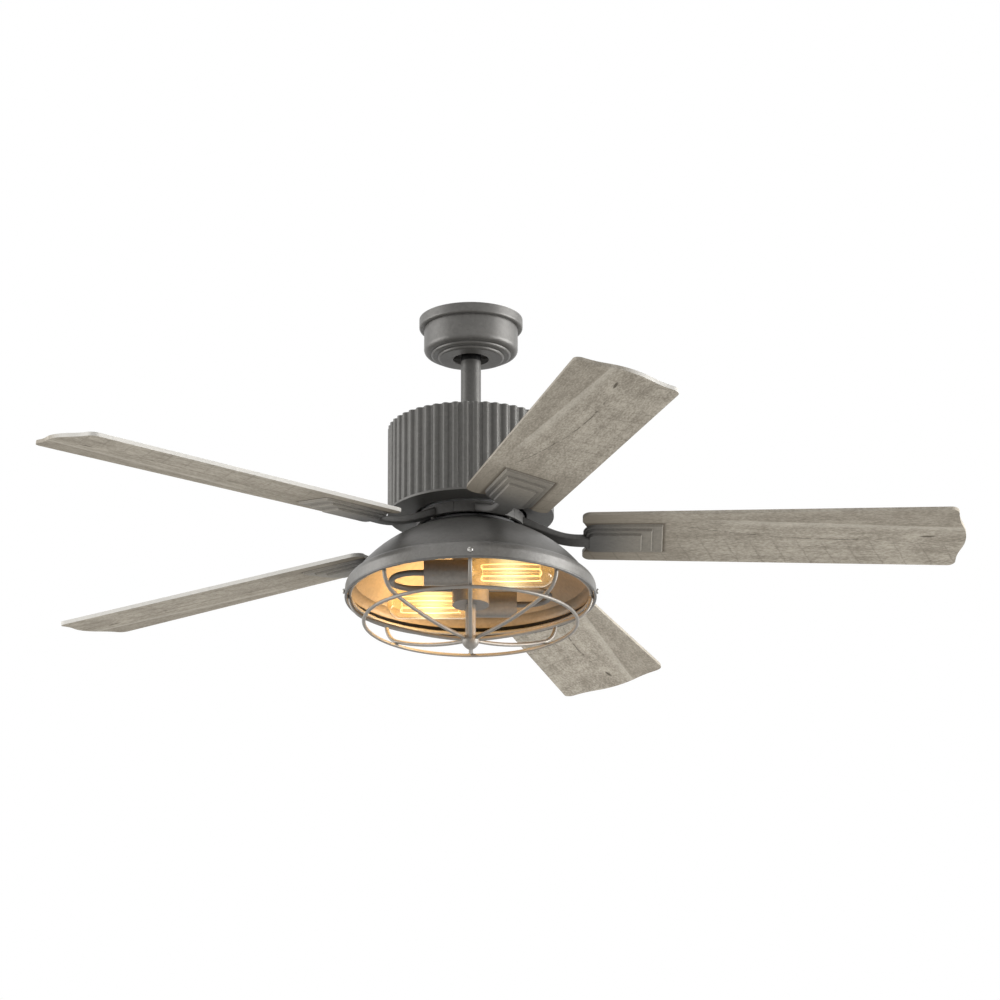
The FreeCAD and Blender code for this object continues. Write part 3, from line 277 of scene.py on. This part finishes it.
# saw marks slant over the trailing half, and growth rings lie round the plate's end
oakLine = {"limits": (0.47, 0.51), "soft": 0.045, "wander": 0.012}
oakSaw = {"pitch": 0.032, "slant": -0.37, "across": (-0.006, 0.024), "depth": 0.75}
oakRing = {"pitch": 0.026, "centre": 0.21, "oval": 2.4, "along": (0.42, 0.28), "depth": 0.30}


def linesAt(tree, distance, pitch, sway):  # a thin wavering line once in every pitch
    wavering = calc(tree, "MULTIPLY_ADD", sway, oakLine["wander"], distance)
    phase = calc(tree, "FRACT", calc(tree, "DIVIDE", wavering, pitch))
    return between(tree, phase, *oakLine["limits"], oakLine["soft"])


def sawMarks(tree, axes, sway, streak):
    slant = calc(tree, "MULTIPLY_ADD", axes["Y"], oakSaw["slant"], axes["X"])
    lines = linesAt(tree, slant, oakSaw["pitch"], sway)
    return multiply(tree, lines, rampUp(tree, axes["Y"], *oakSaw["across"]), streak, oakSaw["depth"])


def growthRings(tree, axes, sway):
    offCentre = calc(tree, "SUBTRACT", axes["X"], oakRing["centre"])
    across = calc(tree, "MULTIPLY", axes["Y"], oakRing["oval"])
    lines = linesAt(tree, calc(tree, "SQRT", squareSum(tree, offCentre, across)), oakRing["pitch"], sway)
    return multiply(tree, lines, rampUp(tree, axes["X"], *oakRing["along"]), oakRing["depth"])


# crack: bowed along the middle, wandering and broken
oakCrack = {
    "top": 0.0045, "bow": -0.64, "middle": 0.51, "half": 0.0014, "ends": (0.29, 0.555), "soft": 0.03,
    "wander": 0.006, "breaks": (30.0, 6.0, 6.0), "breakRamp": (0.42, 0.54), "depth": 0.8,
}


def brokenCrack(tree, along, axes, sway):
    fromMiddle = calc(tree, "POWER", calc(tree, "SUBTRACT", axes["X"], oakCrack["middle"]), 2.0)
    line = calc(tree, "MULTIPLY_ADD", fromMiddle, oakCrack["bow"], oakCrack["top"])
    line = calc(tree, "MULTIPLY_ADD", sway, oakCrack["wander"], line)
    offLine = calc(tree, "ABSOLUTE", calc(tree, "SUBTRACT", axes["Y"], line))
    breaks = noise(tree, mapped(tree, along, oakCrack["breaks"]), oak["texture"])
    return multiply(tree, rampUp(tree, offLine, oakCrack["half"], 0.0),
                    between(tree, axes["X"], *oakCrack["ends"], oakCrack["soft"]),
                    rampUp(tree, breaks, *oakCrack["breakRamp"]), oakCrack["depth"])


# knot: one slanting slash near the tip
oakKnot = {
    "along": 0.609, "across": -0.0030, "length": 0.013, "half": 0.0021, "slope": -0.08, "ramp": (1.3, 0.2),
    "depth": 0.85,
}


def knotSlash(tree, axes):
    along = calc(tree, "SUBTRACT", axes["X"], oakKnot["along"])
    across = calc(tree, "SUBTRACT", axes["Y"], oakKnot["across"])
    across = calc(tree, "MULTIPLY_ADD", along, -oakKnot["slope"], across)
    oval = squareSum(tree, calc(tree, "DIVIDE", along, oakKnot["length"]),
                     calc(tree, "DIVIDE", across, oakKnot["half"]))
    return multiply(tree, rampUp(tree, oval, *oakKnot["ramp"]), oakKnot["depth"])


# painted shadow round the plate, on the underside
plateShadow = {"plateHalf": 0.0335, "plateEnd": 0.2560, "reach": 0.0055, "share": 0.8}


def shadowRoundPlate(tree, axes, facing, colour):
    beside = calc(tree, "SUBTRACT", calc(tree, "ABSOLUTE", axes["Y"]), plateShadow["plateHalf"])
    beyond = calc(tree, "SUBTRACT", axes["X"], plateShadow["plateEnd"])
    near = rampUp(tree, calc(tree, "MAXIMUM", beside, beyond), plateShadow["reach"], 0.0)
    plateShade = multiply(tree, near, calc(tree, "LESS_THAN", facing, 0.0), plateShadow["share"])
    return blend(tree, plateShade, colour, oak["mark"])


# sawn edges are pale, partly bare wood and partly painted highlight, the trailing one palest
oakEdgeAndHighlight = {"pale": (0.68, 0.67, 0.64, 1.0), "steep": (0.75, 0.45), "side": 0.02, "shares": (0.06, 0.72)}


def bareAndLitEdges(tree, axes, facing, colour):
    edge = rampUp(tree, calc(tree, "ABSOLUTE", facing), *oakEdgeAndHighlight["steep"])
    trailing = rampUp(tree, axes["Y"], -oakEdgeAndHighlight["side"], oakEdgeAndHighlight["side"])
    share = multiply(tree, edge, spread(tree, trailing, oakEdgeAndHighlight["shares"]))
    return blend(tree, share, colour, oakEdgeAndHighlight["pale"])


def greyOak(name, turn):
    material, tree, shader, place = newMaterial(name)
    along = mapped(tree, place, turn=-turn)
    axes = axesOf(tree, along)
    facing = axesOf(tree, normalOf(tree))["Z"]
    speckle = noise(tree, mapped(tree, along, oak["speckle"]), oak["texture"])
    streak = noise(tree, mapped(tree, along, oak["streak"]), oak["texture"])
    cloud = noise(tree, mapped(tree, along, oak["cloud"]), oak["texture"])
    tone = weighed(tree, ((speckle, oak["speckleWeight"]), (streak, oak["streakWeight"]),
                          (cloud, oak["cloudWeight"])))
    colour = blend(tree, rampUp(tree, tone, *oak["toneRamp"]), oak["dark"], oak["light"])
    # painted shade: the wood darkens toward the root
    colour = blend(tree, rampUp(tree, axes["X"], *oak["root"]), colour, oak["dark"])  # darker at the root
    colour = seamOnOak(tree, axes, colour)
    sway = calc(tree, "SUBTRACT", cloud, oak["meanCloud"])
    lines = calc(tree, "MAXIMUM", sawMarks(tree, axes, sway, streak), growthRings(tree, axes, sway))
    splits = calc(tree, "MAXIMUM", brokenCrack(tree, along, axes, sway), knotSlash(tree, axes))
    dents = calc(tree, "MAXIMUM", lines, splits)
    colour = blend(tree, dents, colour, oak["mark"])
    colour = shadowRoundPlate(tree, axes, facing, colour)
    colour = bareAndLitEdges(tree, axes, facing, colour)
    tree.links.new(colour, shader.inputs["Base Color"])
    shader.inputs["Roughness"].default_value = oak["rough"]
    shader.inputs["Specular IOR Level"].default_value = oak["gloss"]
    bump(tree, shader, calc(tree, "SUBTRACT", speckle, dents), oak["bump"])
    return material


# bare metals, black paint, plastic and glaze: two tones through one noise, with roughness to match
finishes = {
    "zinc_steel": {"dark": (0.36, 0.35, 0.33, 1.0), "light": (0.62, 0.61, 0.58, 1.0),
                   "grain": 420.0, "metallic": 1.0, "rough": (0.28, 0.45)},
    "machined_steel": {"dark": (0.42, 0.42, 0.43, 1.0), "light": (0.66, 0.66, 0.67, 1.0),
                       "grain": 260.0, "metallic": 1.0, "rough": (0.18, 0.32)},
    "lamination": {"dark": (0.10, 0.10, 0.105, 1.0), "light": (0.26, 0.26, 0.27, 1.0),
                   "grain": 700.0, "metallic": 0.9, "rough": (0.40, 0.60)},
    "winding": {"dark": (0.26, 0.085, 0.03, 1.0), "light": (0.55, 0.22, 0.08, 1.0),
                "grain": 900.0, "metallic": 0.8, "rough": (0.22, 0.40)},
    "bell_alloy": {"dark": (0.40, 0.40, 0.40, 1.0), "light": (0.58, 0.58, 0.58, 1.0),
                   "grain": 500.0, "metallic": 0.9, "rough": (0.42, 0.60)},
    "black_paint": {"dark": (0.006, 0.006, 0.006, 1.0), "light": (0.022, 0.022, 0.021, 1.0),
                    "grain": 600.0, "metallic": 0.0, "rough": (0.50, 0.65)},
    "black_plastic": {"dark": (0.012, 0.012, 0.012, 1.0), "light": (0.035, 0.034, 0.033, 1.0),
                      "grain": 800.0, "metallic": 0.0, "rough": (0.42, 0.58)},
    "holder_ceramic": {"dark": (0.62, 0.59, 0.52, 1.0), "light": (0.80, 0.78, 0.72, 1.0),
                       "grain": 90.0, "metallic": 0.0, "rough": (0.15, 0.30)},
    "base_brass": {"dark": (0.42, 0.29, 0.11, 1.0), "light": (0.70, 0.52, 0.24, 1.0),
                   "grain": 300.0, "metallic": 1.0, "rough": (0.22, 0.40)},
}
finishGrain = {"detail": 4.0, "roughness": 0.6, "bump": (0.06, 0.0004)}


def plainFinish(name, spec):
    material, tree, shader, place = newMaterial(name)
    grain = noise(tree, place, (spec["grain"], finishGrain["detail"], finishGrain["roughness"]))
    tree.links.new(blend(tree, grain, spec["dark"], spec["light"]), shader.inputs["Base Color"])
    tree.links.new(spread(tree, grain, spec["rough"]), shader.inputs["Roughness"])
    shader.inputs["Metallic"].default_value = spec["metallic"]
    bump(tree, shader, grain, finishGrain["bump"])
    return material


# lit lamps: clear warm glass that glows round its middle
glassGlow = {
    "tint": (1.0, 0.94, 0.80, 1.0), "film": (60.0, 3.0, 0.5), "smear": (0.03, 0.12), "bend": 1.45,
    "middle": 0.052, "half": 0.012, "soft": 0.022, "dull": (0.24, 0.135, 0.030, 1.0),
    "glow": (0.88, 0.84, 0.48, 1.0), "strength": 0.24,
}


def lampGlass(spec):
    material, tree, shader, place = newMaterial("lampGlass")
    film = noise(tree, place, spec["film"])
    tree.links.new(spread(tree, film, spec["smear"]), shader.inputs["Roughness"])
    along = calc(tree, "ABSOLUTE", axesOf(tree, place)["X"])
    low, high = spec["middle"] - spec["half"], spec["middle"] + spec["half"]
    warmth = between(tree, along, low, high, spec["soft"])
    tree.links.new(blend(tree, warmth, spec["dull"], spec["glow"]), shader.inputs["Emission Color"])
    shader.inputs["Base Color"].default_value = spec["tint"]
    shader.inputs["Transmission Weight"].default_value = 1.0
    shader.inputs["IOR"].default_value = spec["bend"]
    shader.inputs["Emission Strength"].default_value = spec["strength"]
    return material


# bright wire, uneven in heat
wireGlow = {
    "heat": (220.0, 2.0, 0.5), "low": (1.0, 0.78, 0.38, 1.0), "high": (1.0, 0.92, 0.60, 1.0),
    "strength": 0.72,
}


def glowWire(spec):
    material, tree, shader, place = newMaterial("glowWire")
    heat = noise(tree, place, spec["heat"])
    tree.links.new(blend(tree, heat, spec["low"], spec["high"]), shader.inputs["Emission Color"])
    shader.inputs["Base Color"].default_value = spec["low"]
    shader.inputs["Emission Strength"].default_value = spec["strength"]
    return material


# a finish for each slot, then the pieces that have one of their own
library = {"satin_grey": zincFinish("zincGrey", zinc), "clear_glass": lampGlass(glassGlow),
           "filament_wire": glowWire(wireGlow)}
for slot, spec in finishes.items():
    library[slot] = plainFinish(slot, spec)
guardFinish = zincFinish("guardGrey", guardZinc)
socketFinish = zincFinish("socketGrey", socketZinc)
housingShadedFinish = zincFinish("housingShadedGrey", housingShadedZinc)
ironFinish = zincFinish("ironGrey", ironZinc, paintedLightOnPlate)
ownFinish = {
    "cage_top_ring": guardFinish, "cage_lower_ring": guardFinish, "cage_ribs": guardFinish,
    "stem": guardFinish, "finial": guardFinish,
    "lamp_post": socketFinish, "post_cap": socketFinish,
    "socket_cup_1": socketFinish, "socket_cup_2": socketFinish,
    "housing_shell": housingShadedFinish, "bottom_cover": housingShadedFinish,
    "shade": zincFinish("shadeGrey", zinc, paintedLightOnShade),
    "downrod": zincFinish("rodGrey", rodZinc, blackOnRod),
}
for number, turn in enumerate(bladeTurns, start=1):
    ownFinish["blade_%d" % number] = greyOak("greyOak%d" % number, turn)
    ownFinish["blade_iron_%d" % number] = ironFinish
for sub in frame["record"]["subparts"]:
    coat = nodes[sub["node"]].data.materials
    coat.clear()
    coat.append(ownFinish.get(sub["node"]) or library[sub["material_slot"]])
print("finishes set:", len(bpy.data.materials))


# stacked rings of points, rows by columns: quads between rings, and a fan to a pole at each end
def closedRings(rings):
    rows, columns = rings.shape[:2]
    points = np.vstack([rings[0].mean(axis=0), rings.reshape(-1, 3), rings[-1].mean(axis=0)])
    index = 1 + np.arange(rows * columns).reshape(rows, columns)
    after = np.roll(index, -1, axis=1)
    quads = np.stack([index[:-1], after[:-1], after[1:], index[1:]], axis=-1).reshape(-1, 4)
    first = np.stack([np.zeros(columns, int), after[0], index[0]], axis=-1)
    last = np.stack([np.full(columns, len(points) - 1), index[-1], after[-1]], axis=-1)
    return points, quads.tolist() + first.tolist() + last.tolist()


def addPiece(name, shapes, slot, body, finish, *stands):  # stands are the nodes that it replaces
    points, faces, count = [], [], 0
    for shape, shapeFaces in shapes:
        points.append(shape)
        faces += [[corner + count for corner in face] for face in shapeFaces]
        count += len(shape)
    mesh = bpy.data.meshes.new(name)
    mesh.from_pydata(np.vstack(points).tolist(), [], faces)
    mesh.polygons.foreach_set("use_smooth", np.ones(len(faces), dtype=bool))
    mesh.materials.append(finish)
    piece = bpy.data.objects.new(name, mesh)
    bpy.context.scene.collection.objects.link(piece)
    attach(piece, body)
    if stands:
        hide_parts(*stands)
    return piece


def addLight(name, kind, power, place):
    light = bpy.data.lights.new(name, kind)
    light.energy = power
    holder = bpy.data.objects.new(name, light)
    holder.location = place
    holder.visible_camera = False
    bpy.context.scene.collection.objects.link(holder)
    return light, holder


def angles(count):  # evenly round a full turn
    return np.arange(count) * 2 * np.pi / count


def turnedZ(points, turn):  # turns points about the fan's axis
    spin = np.array(Matrix.Rotation(turn, 3, "Z"))
    return points @ spin.T


def circleOf(shape, count):  # repeats a form evenly round the fan's axis
    points, faces = shape
    return [(turnedZ(points, 2 * math.pi * i / count), faces) for i in range(count)]


def placedAlong(shape, place, way):  # carries a form made on Z to a place, with Z along a way
    turn = np.array(Vector(upward).rotation_difference(Vector(way)).to_matrix())
    points, faces = shape
    return points @ turn.T + np.array(place), faces


def onBlade(points, turn):  # lays a form made flat along X at the blade's pitch, height and turn
    tilt = np.array(Matrix.Rotation(fan["pitch"], 3, "X"))
    return turnedZ(points @ tilt.T + np.array([0.0, 0.0, fan["bladeHeight"]]), turn)


def onLamp(points, turn):  # local Z runs along the lamp from the socket's mouth
    across, level = points[:, 0] + lampPlace["offset"], points[:, 1] + lampPlace["height"]
    return turnedZ(np.stack([points[:, 2], across, level], axis=-1), turn)


# wire: a circle of one radius carried along a path, square to it, and started off one fixed side
def wireAlong(path, radius, sides, side):
    along = np.gradient(path, axis=0)
    along /= np.linalg.norm(along, axis=1, keepdims=True)
    across = np.cross(along, side)
    across /= np.linalg.norm(across, axis=1, keepdims=True)
    over = np.cross(along, across)
    turn = angles(sides)[None, :, None]
    rings = path[:, None] + radius * (np.cos(turn) * across[:, None] + np.sin(turn) * over[:, None])
    return closedRings(rings)


# turned form: a profile of radius and height carried round the Z axis
def turnedForm(profile, columns):
    turn = angles(columns)
    radius, height = profile[:, 0, None], profile[:, 1, None]
    rings = np.stack([radius * np.cos(turn), radius * np.sin(turn), height + 0 * turn], axis=-1)
    return closedRings(rings)


# filament: strands along the lamp, bellied by half a sine and joined end to end by half-sine loops
filament = {
    "strands": 8, "radius": 0.0115, "belly": 0.0012, "start": 0.016, "end": 0.092, "loop": 0.0022,
    "runShare": 0.8, "samples": 240, "wire": 0.00042, "sides": 6, "side": (0.0, 0.3, 0.95),
    "hook": 0.00022, "hookTurn": 0.9, "hookSamples": 4,
}


def filamentPath(spec):
    step = np.linspace(0.0, spec["strands"], spec["samples"])
    strand = np.minimum(np.floor(step), spec["strands"] - 1)
    inside = step - strand
    run = np.clip(inside / spec["runShare"], 0.0, 1.0)
    bend = np.clip((inside - spec["runShare"]) / (1 - spec["runShare"]), 0.0, 1.0)
    forward = np.where(strand % 2 == 0, 1.0, -1.0)
    middle, length = (spec["start"] + spec["end"]) / 2, spec["end"] - spec["start"]
    height = middle + forward * ((run - 1 / 2) * length + spec["loop"] * np.sin(np.pi * bend))
    radius = spec["radius"] + spec["belly"] * np.sin(np.pi * run)
    turn = (strand + bend) * 2 * np.pi / spec["strands"]
    return np.stack([radius * np.cos(turn), radius * np.sin(turn), height], axis=-1)


def hooks(spec):  # straight support wires from the stem out to the loops
    shapes = []
    for number in range(spec["strands"]):
        turn = (number + spec["hookTurn"]) * 2 * math.pi / spec["strands"]
        level = spec["end"] if number % 2 == 0 else spec["start"]
        reach = np.linspace(0.0, spec["radius"], spec["hookSamples"])
        path = np.stack([reach * math.cos(turn), reach * math.sin(turn), level + 0 * reach], axis=-1)
        shapes.append(wireAlong(path, spec["hook"], spec["sides"], upward))
    return shapes


# stem: a thick glass foot that narrows to a rod, as radius and height
lampStem = {
    "profile": ((0.0034, -0.0055), (0.0034, 0.009), (0.0030, 0.0125), (0.0012, 0.0155), (0.0011, 0.094),
                (0.0004, 0.0945)),
    "sides": 16,
}
lampLight = {
    "power": (0.95, 1.85), "colour": ((1.0, 0.58, 0.22), (1.0, 0.64, 0.27)), "radius": 0.012,
    "reach": 0.055,
}
glass, wire = library["clear_glass"], library["filament_wire"]
wires = [wireAlong(filamentPath(filament), filament["wire"], filament["sides"], filament["side"])]
wires += hooks(filament)
stemPoints, stemFaces = turnedForm(np.array(lampStem["profile"]), lampStem["sides"])
for number, turn in enumerate(lampPlace["turns"], start=1):
    shapes = [(onLamp(points, turn), faces) for points, faces in wires]
    coil = addPiece("lampWire%d" % number, shapes, "filament_wire", "hanging_fan", wire,
                    "filament_%d" % number)
    shapes = [(onLamp(stemPoints, turn), stemFaces)]
    stem = addPiece("lampStem%d" % number, shapes, "clear_glass", "hanging_fan", glass)
    place = onLamp(np.array([[0.0, 0.0, lampLight["reach"]]]), turn)[0]
    light, holder = addLight("lampLight%d" % number, "POINT", lampLight["power"][number - 1], place)
    light.color = lampLight["colour"][number - 1]
    light.shadow_soft_size = lampLight["radius"]
    holder.parent = coil  # swings with the lamp
    holder.visible_glossy = holder.visible_transmission = False
    for shown in (coil, stem, nodes["bulb_glass_%d" % number]):
        shown.visible_shadow = False
print("lamps lit")

# pan screw: a shank, a wall and a quarter-ellipse crown turned about Z, with a cross pressed into the crown
screw = {
    "columns": 48, "crown": 16, "crownTip": 0.04, "wallShare": 0.5,
    "crossReach": 0.62, "crossHalf": 0.13, "crossSoft": 0.05, "crossDepth": 0.5,
}


def panScrew(size, washer=None):  # the head's underside is at the origin, any washer just below it
    shank, length, head, height = size
    thick = washer["thick"] if washer else 0.0
    wall = height * screw["wallShare"]
    share = np.sin(np.linspace(1.0, screw["crownTip"], screw["crown"]) * np.pi / 2)
    crown = wall + (height - wall) * np.sqrt(np.maximum(1 - share ** 2, 0.0))
    low = [(shank, -length - thick), (shank, -thick)]
    if washer:
        low += [(washer["radius"], -thick), (washer["radius"], 0.0)]
    profile = np.vstack([low, [(head, 0.0)], np.stack([head * share, crown], axis=-1)])
    turn = angles(screw["columns"])
    radius, level = profile[:, 0, None], profile[:, 1, None]
    x, y = radius * np.cos(turn), radius * np.sin(turn)
    arm = np.minimum(np.abs(x), np.abs(y)) / head
    fade = np.clip((screw["crossHalf"] - arm) / screw["crossSoft"], 0.0, 1.0)
    fade *= np.clip((screw["crossReach"] - radius / head) / screw["crossSoft"], 0.0, 1.0)
    z = level - (level > wall) * fade * height * screw["crossDepth"]
    return closedRings(np.stack([x, y, z], axis=-1))


# sizes are shank radius, length, head radius and head height; each circle starts at its place
screwSize = {
    "guard": (0.0020, 0.010, 0.0036, 0.0030), "shade": (0.0022, 0.0046, 0.0042, 0.0026),
    "lid": (0.0019, 0.0065, 0.0034, 0.0022), "cover": (0.0019, 0.0045, 0.0034, 0.0022),
}
screwCircles = {
    "guardScrews": [{"size": "guard", "place": (0.1676, 0.0, -0.3860), "way": outward, "count": 4}],
    "shadeScrews": [{"size": "shade", "place": (0.048, 0.0, -0.3041), "way": downward, "count": 3}],
    "housingScrews": [
        {"size": "lid", "place": (0.1017, 0.0, -0.160), "way": upward, "count": 4},
        {"size": "lid", "place": (0.0275, 0.0, -0.160), "way": upward, "count": 3},
        {"size": "cover", "place": (0.1017, 0.0, -0.2755), "way": upward, "count": 4},
    ],
}
screwNodes = {
    "guardScrews": "cage_screws", "shadeScrews": "shade_screws", "housingScrews": "housing_screws",
}
steel = library["zinc_steel"]
for name, circles in screwCircles.items():
    shapes = []
    for spec in circles:
        form = placedAlong(panScrew(screwSize[spec["size"]]), spec["place"], spec["way"])
        shapes += circleOf(form, spec["count"])
    addPiece(name, shapes, "zinc_steel", "hanging_fan", steel, screwNodes[name])

# blade screws stand on washers on the blade's upper face
bladeScrew = {
    "size": (0.0022, 0.012, 0.0046, 0.0022), "washer": {"thick": 0.0012, "radius": 0.0070}, "top": 0.0062,
    "places": ((0.174, -0.014), (0.174, 0.014), (0.216, 0.0)),
}
screwPoints, screwFaces = panScrew(bladeScrew["size"], bladeScrew["washer"])
shapes = []
for turn in bladeTurns:
    for x, y in bladeScrew["places"]:
        shapes.append((onBlade(screwPoints + np.array([x, y, bladeScrew["top"]]), turn), screwFaces))
addPiece("bladeScrews", shapes, "zinc_steel", "rotor", steel, "blade_screws")
print("screws made")

# weld beads: ovals where the guard's ribs meet its rings, a sine and cosine of latitude by longitude
bead = {
    "count": 8, "rows": 9, "columns": 16, "poleShare": 0.94,
    "lower": (0.1411, 0.0, -0.4261), "lowerSize": (0.0021, 0.0036, 0.0015),
    "upper": (0.1604, 0.0, -0.3940), "upperSize": (0.0021, 0.0034, 0.0013),
}


def weldBead(spec, size, place):
    latitude = np.linspace(-spec["poleShare"], spec["poleShare"], spec["rows"])[:, None] * np.pi / 2
    turn = angles(spec["columns"])
    ball = np.stack([np.cos(latitude) * np.cos(turn), np.cos(latitude) * np.sin(turn),
                     np.sin(latitude) + 0 * turn], axis=-1)
    return closedRings(ball * np.array(size) + np.array(place))


beadSet = circleOf(weldBead(bead, bead["lowerSize"], bead["lower"]), bead["count"])
beadSet += circleOf(weldBead(bead, bead["upperSize"], bead["upper"]), bead["count"])
addPiece("guardWelds", beadSet, "satin_grey", "hanging_fan", guardFinish)
print("welds made")

# rolled rim of the shade: a small circle carried round the mouth's circle
rim = {"radius": 0.1658, "height": -0.3946, "roll": 0.0020, "sides": 14, "steps": 192}


def rolledRim(spec):
    turn, across = np.meshgrid(angles(spec["steps"]), angles(spec["sides"]), indexing="ij")
    out = spec["radius"] + spec["roll"] * np.cos(across)
    height = spec["height"] + spec["roll"] * np.sin(across)
    points = np.stack([out * np.cos(turn), out * np.sin(turn), height], axis=-1).reshape(-1, 3)
    index = np.arange(len(points)).reshape(turn.shape)
    after, beside = np.roll(index, -1, axis=0), np.roll(index, -1, axis=1)
    corner = np.roll(after, -1, axis=1)
    return points, np.stack([index, after, corner, beside], axis=-1).reshape(-1, 4).tolist()


addPiece("shadeRim", [rolledRim(rim)], "satin_grey", "hanging_fan", library["satin_grey"])
print("rim rolled")

# studio: white to the eye and in gloss and glass; as a light, bright above, mid at the sides, dim in front
studio = {
    "white": (1.0, 1.0, 1.0, 1.0), "above": (0.80, 0.80, 0.80, 1.0), "sides": (0.60, 0.60, 0.60, 1.0),
    "front": (0.44, 0.44, 0.44, 1.0), "frontRamp": (0.1, -0.7), "aboveRamp": (0.15, 0.6),
}
world = bpy.data.worlds.new("studio")
bpy.context.scene.world = world
world.use_nodes = True
sky = world.node_tree
heading = axesOf(sky, sky.nodes.new("ShaderNodeTexCoord").outputs["Generated"])
inFront = rampUp(sky, heading["Y"], *studio["frontRamp"])
overhead = rampUp(sky, heading["Z"], *studio["aboveRamp"])
ambient = blend(sky, overhead, blend(sky, inFront, studio["sides"], studio["front"]), studio["above"])
ray = sky.nodes.new("ShaderNodeLightPath").outputs
seen = calc(sky, "MAXIMUM", ray["Is Camera Ray"],
            calc(sky, "MAXIMUM", ray["Is Glossy Ray"], ray["Is Transmission Ray"]))
sky.links.new(blend(sky, seen, ambient, studio["white"]), sky.nodes["Background"].inputs["Color"])

# soft boxes turned to the fan
softBoxes = {
    "rightBox": {"place": (4.4, -0.2, -0.2), "size": (3.6, 3.4), "power": 330.0},
    "leftBox": {"place": (-4.4, -0.2, -0.2), "size": (3.4, 3.4), "power": 152.0},
    "belowBox": {"place": (0.0, -1.0, -8.0), "size": (8.0, 8.0), "power": 115.0},
}
boxAim = Vector((0.0, 0.0, -0.25))
for name, spec in softBoxes.items():
    light, holder = addLight(name, "AREA", spec["power"], spec["place"])
    light.shape = "RECTANGLE"
    light.size, light.size_y = spec["size"]
    holder.rotation_euler = (boxAim - Vector(spec["place"])).to_track_quat("-Z", "Y").to_euler()

# floor well below the fan
ground = {
    "drop": 17.0, "size": 120.0, "tone": (0.80, 0.80, 0.79, 1.0), "pale": (0.88, 0.88, 0.87, 1.0),
    "cloud": (0.8, 2.0, 0.5),
}
half = ground["size"] / 2
corners = np.array([[-half, -half], [half, -half], [half, half], [-half, half]])
floorPoints = np.column_stack([corners, np.full(len(corners), -ground["drop"])])
floorMesh = bpy.data.meshes.new("floor")
floorMesh.from_pydata(floorPoints.tolist(), [], [[0, 1, 2, 3]])
floor = bpy.data.objects.new("floor", floorMesh)
bpy.context.scene.collection.objects.link(floor)
floorPaint, floorTree, floorShader, floorPlace = newMaterial("floorPaint")
floorCloud = noise(floorTree, floorPlace, ground["cloud"])
floorColour = blend(floorTree, floorCloud, ground["tone"], ground["pale"])
floorTree.links.new(floorColour, floorShader.inputs["Base Color"])
floorMesh.materials.append(floorPaint)
print("studio ready")

# camera: long lens from below; the shifts are pixels of the photo's frame
view = {
    "distance": 10.709, "rise": math.radians(19.61), "lens": 289.2, "sensor": 36.0,
    "shiftRight": 29.3, "shiftUp": 37.6, "focalPixels": 8033.0,
}
look = Vector((0.0, math.cos(view["rise"]), math.sin(view["rise"])))
upright = Vector((0.0, -math.sin(view["rise"]), math.cos(view["rise"])))
right = look.cross(upright)
perPixel = view["distance"] / view["focalPixels"]
cameraData = bpy.data.cameras.new("photoView")
cameraData.lens = view["lens"]
cameraData.sensor_width = view["sensor"]
camera = bpy.data.objects.new("photoView", cameraData)
eye = Vector((0.0, 0.0, fan["bladeHeight"])) - look * view["distance"]
eye += right * view["shiftRight"] * perPixel + upright * view["shiftUp"] * perPixel
camera.matrix_world = Matrix.Translation(eye) @ Matrix((right, upright, -look)).transposed().to_4x4()
bpy.context.scene.collection.objects.link(camera)
bpy.context.scene.camera = camera
bpy.context.scene.view_settings.view_transform = "Standard"
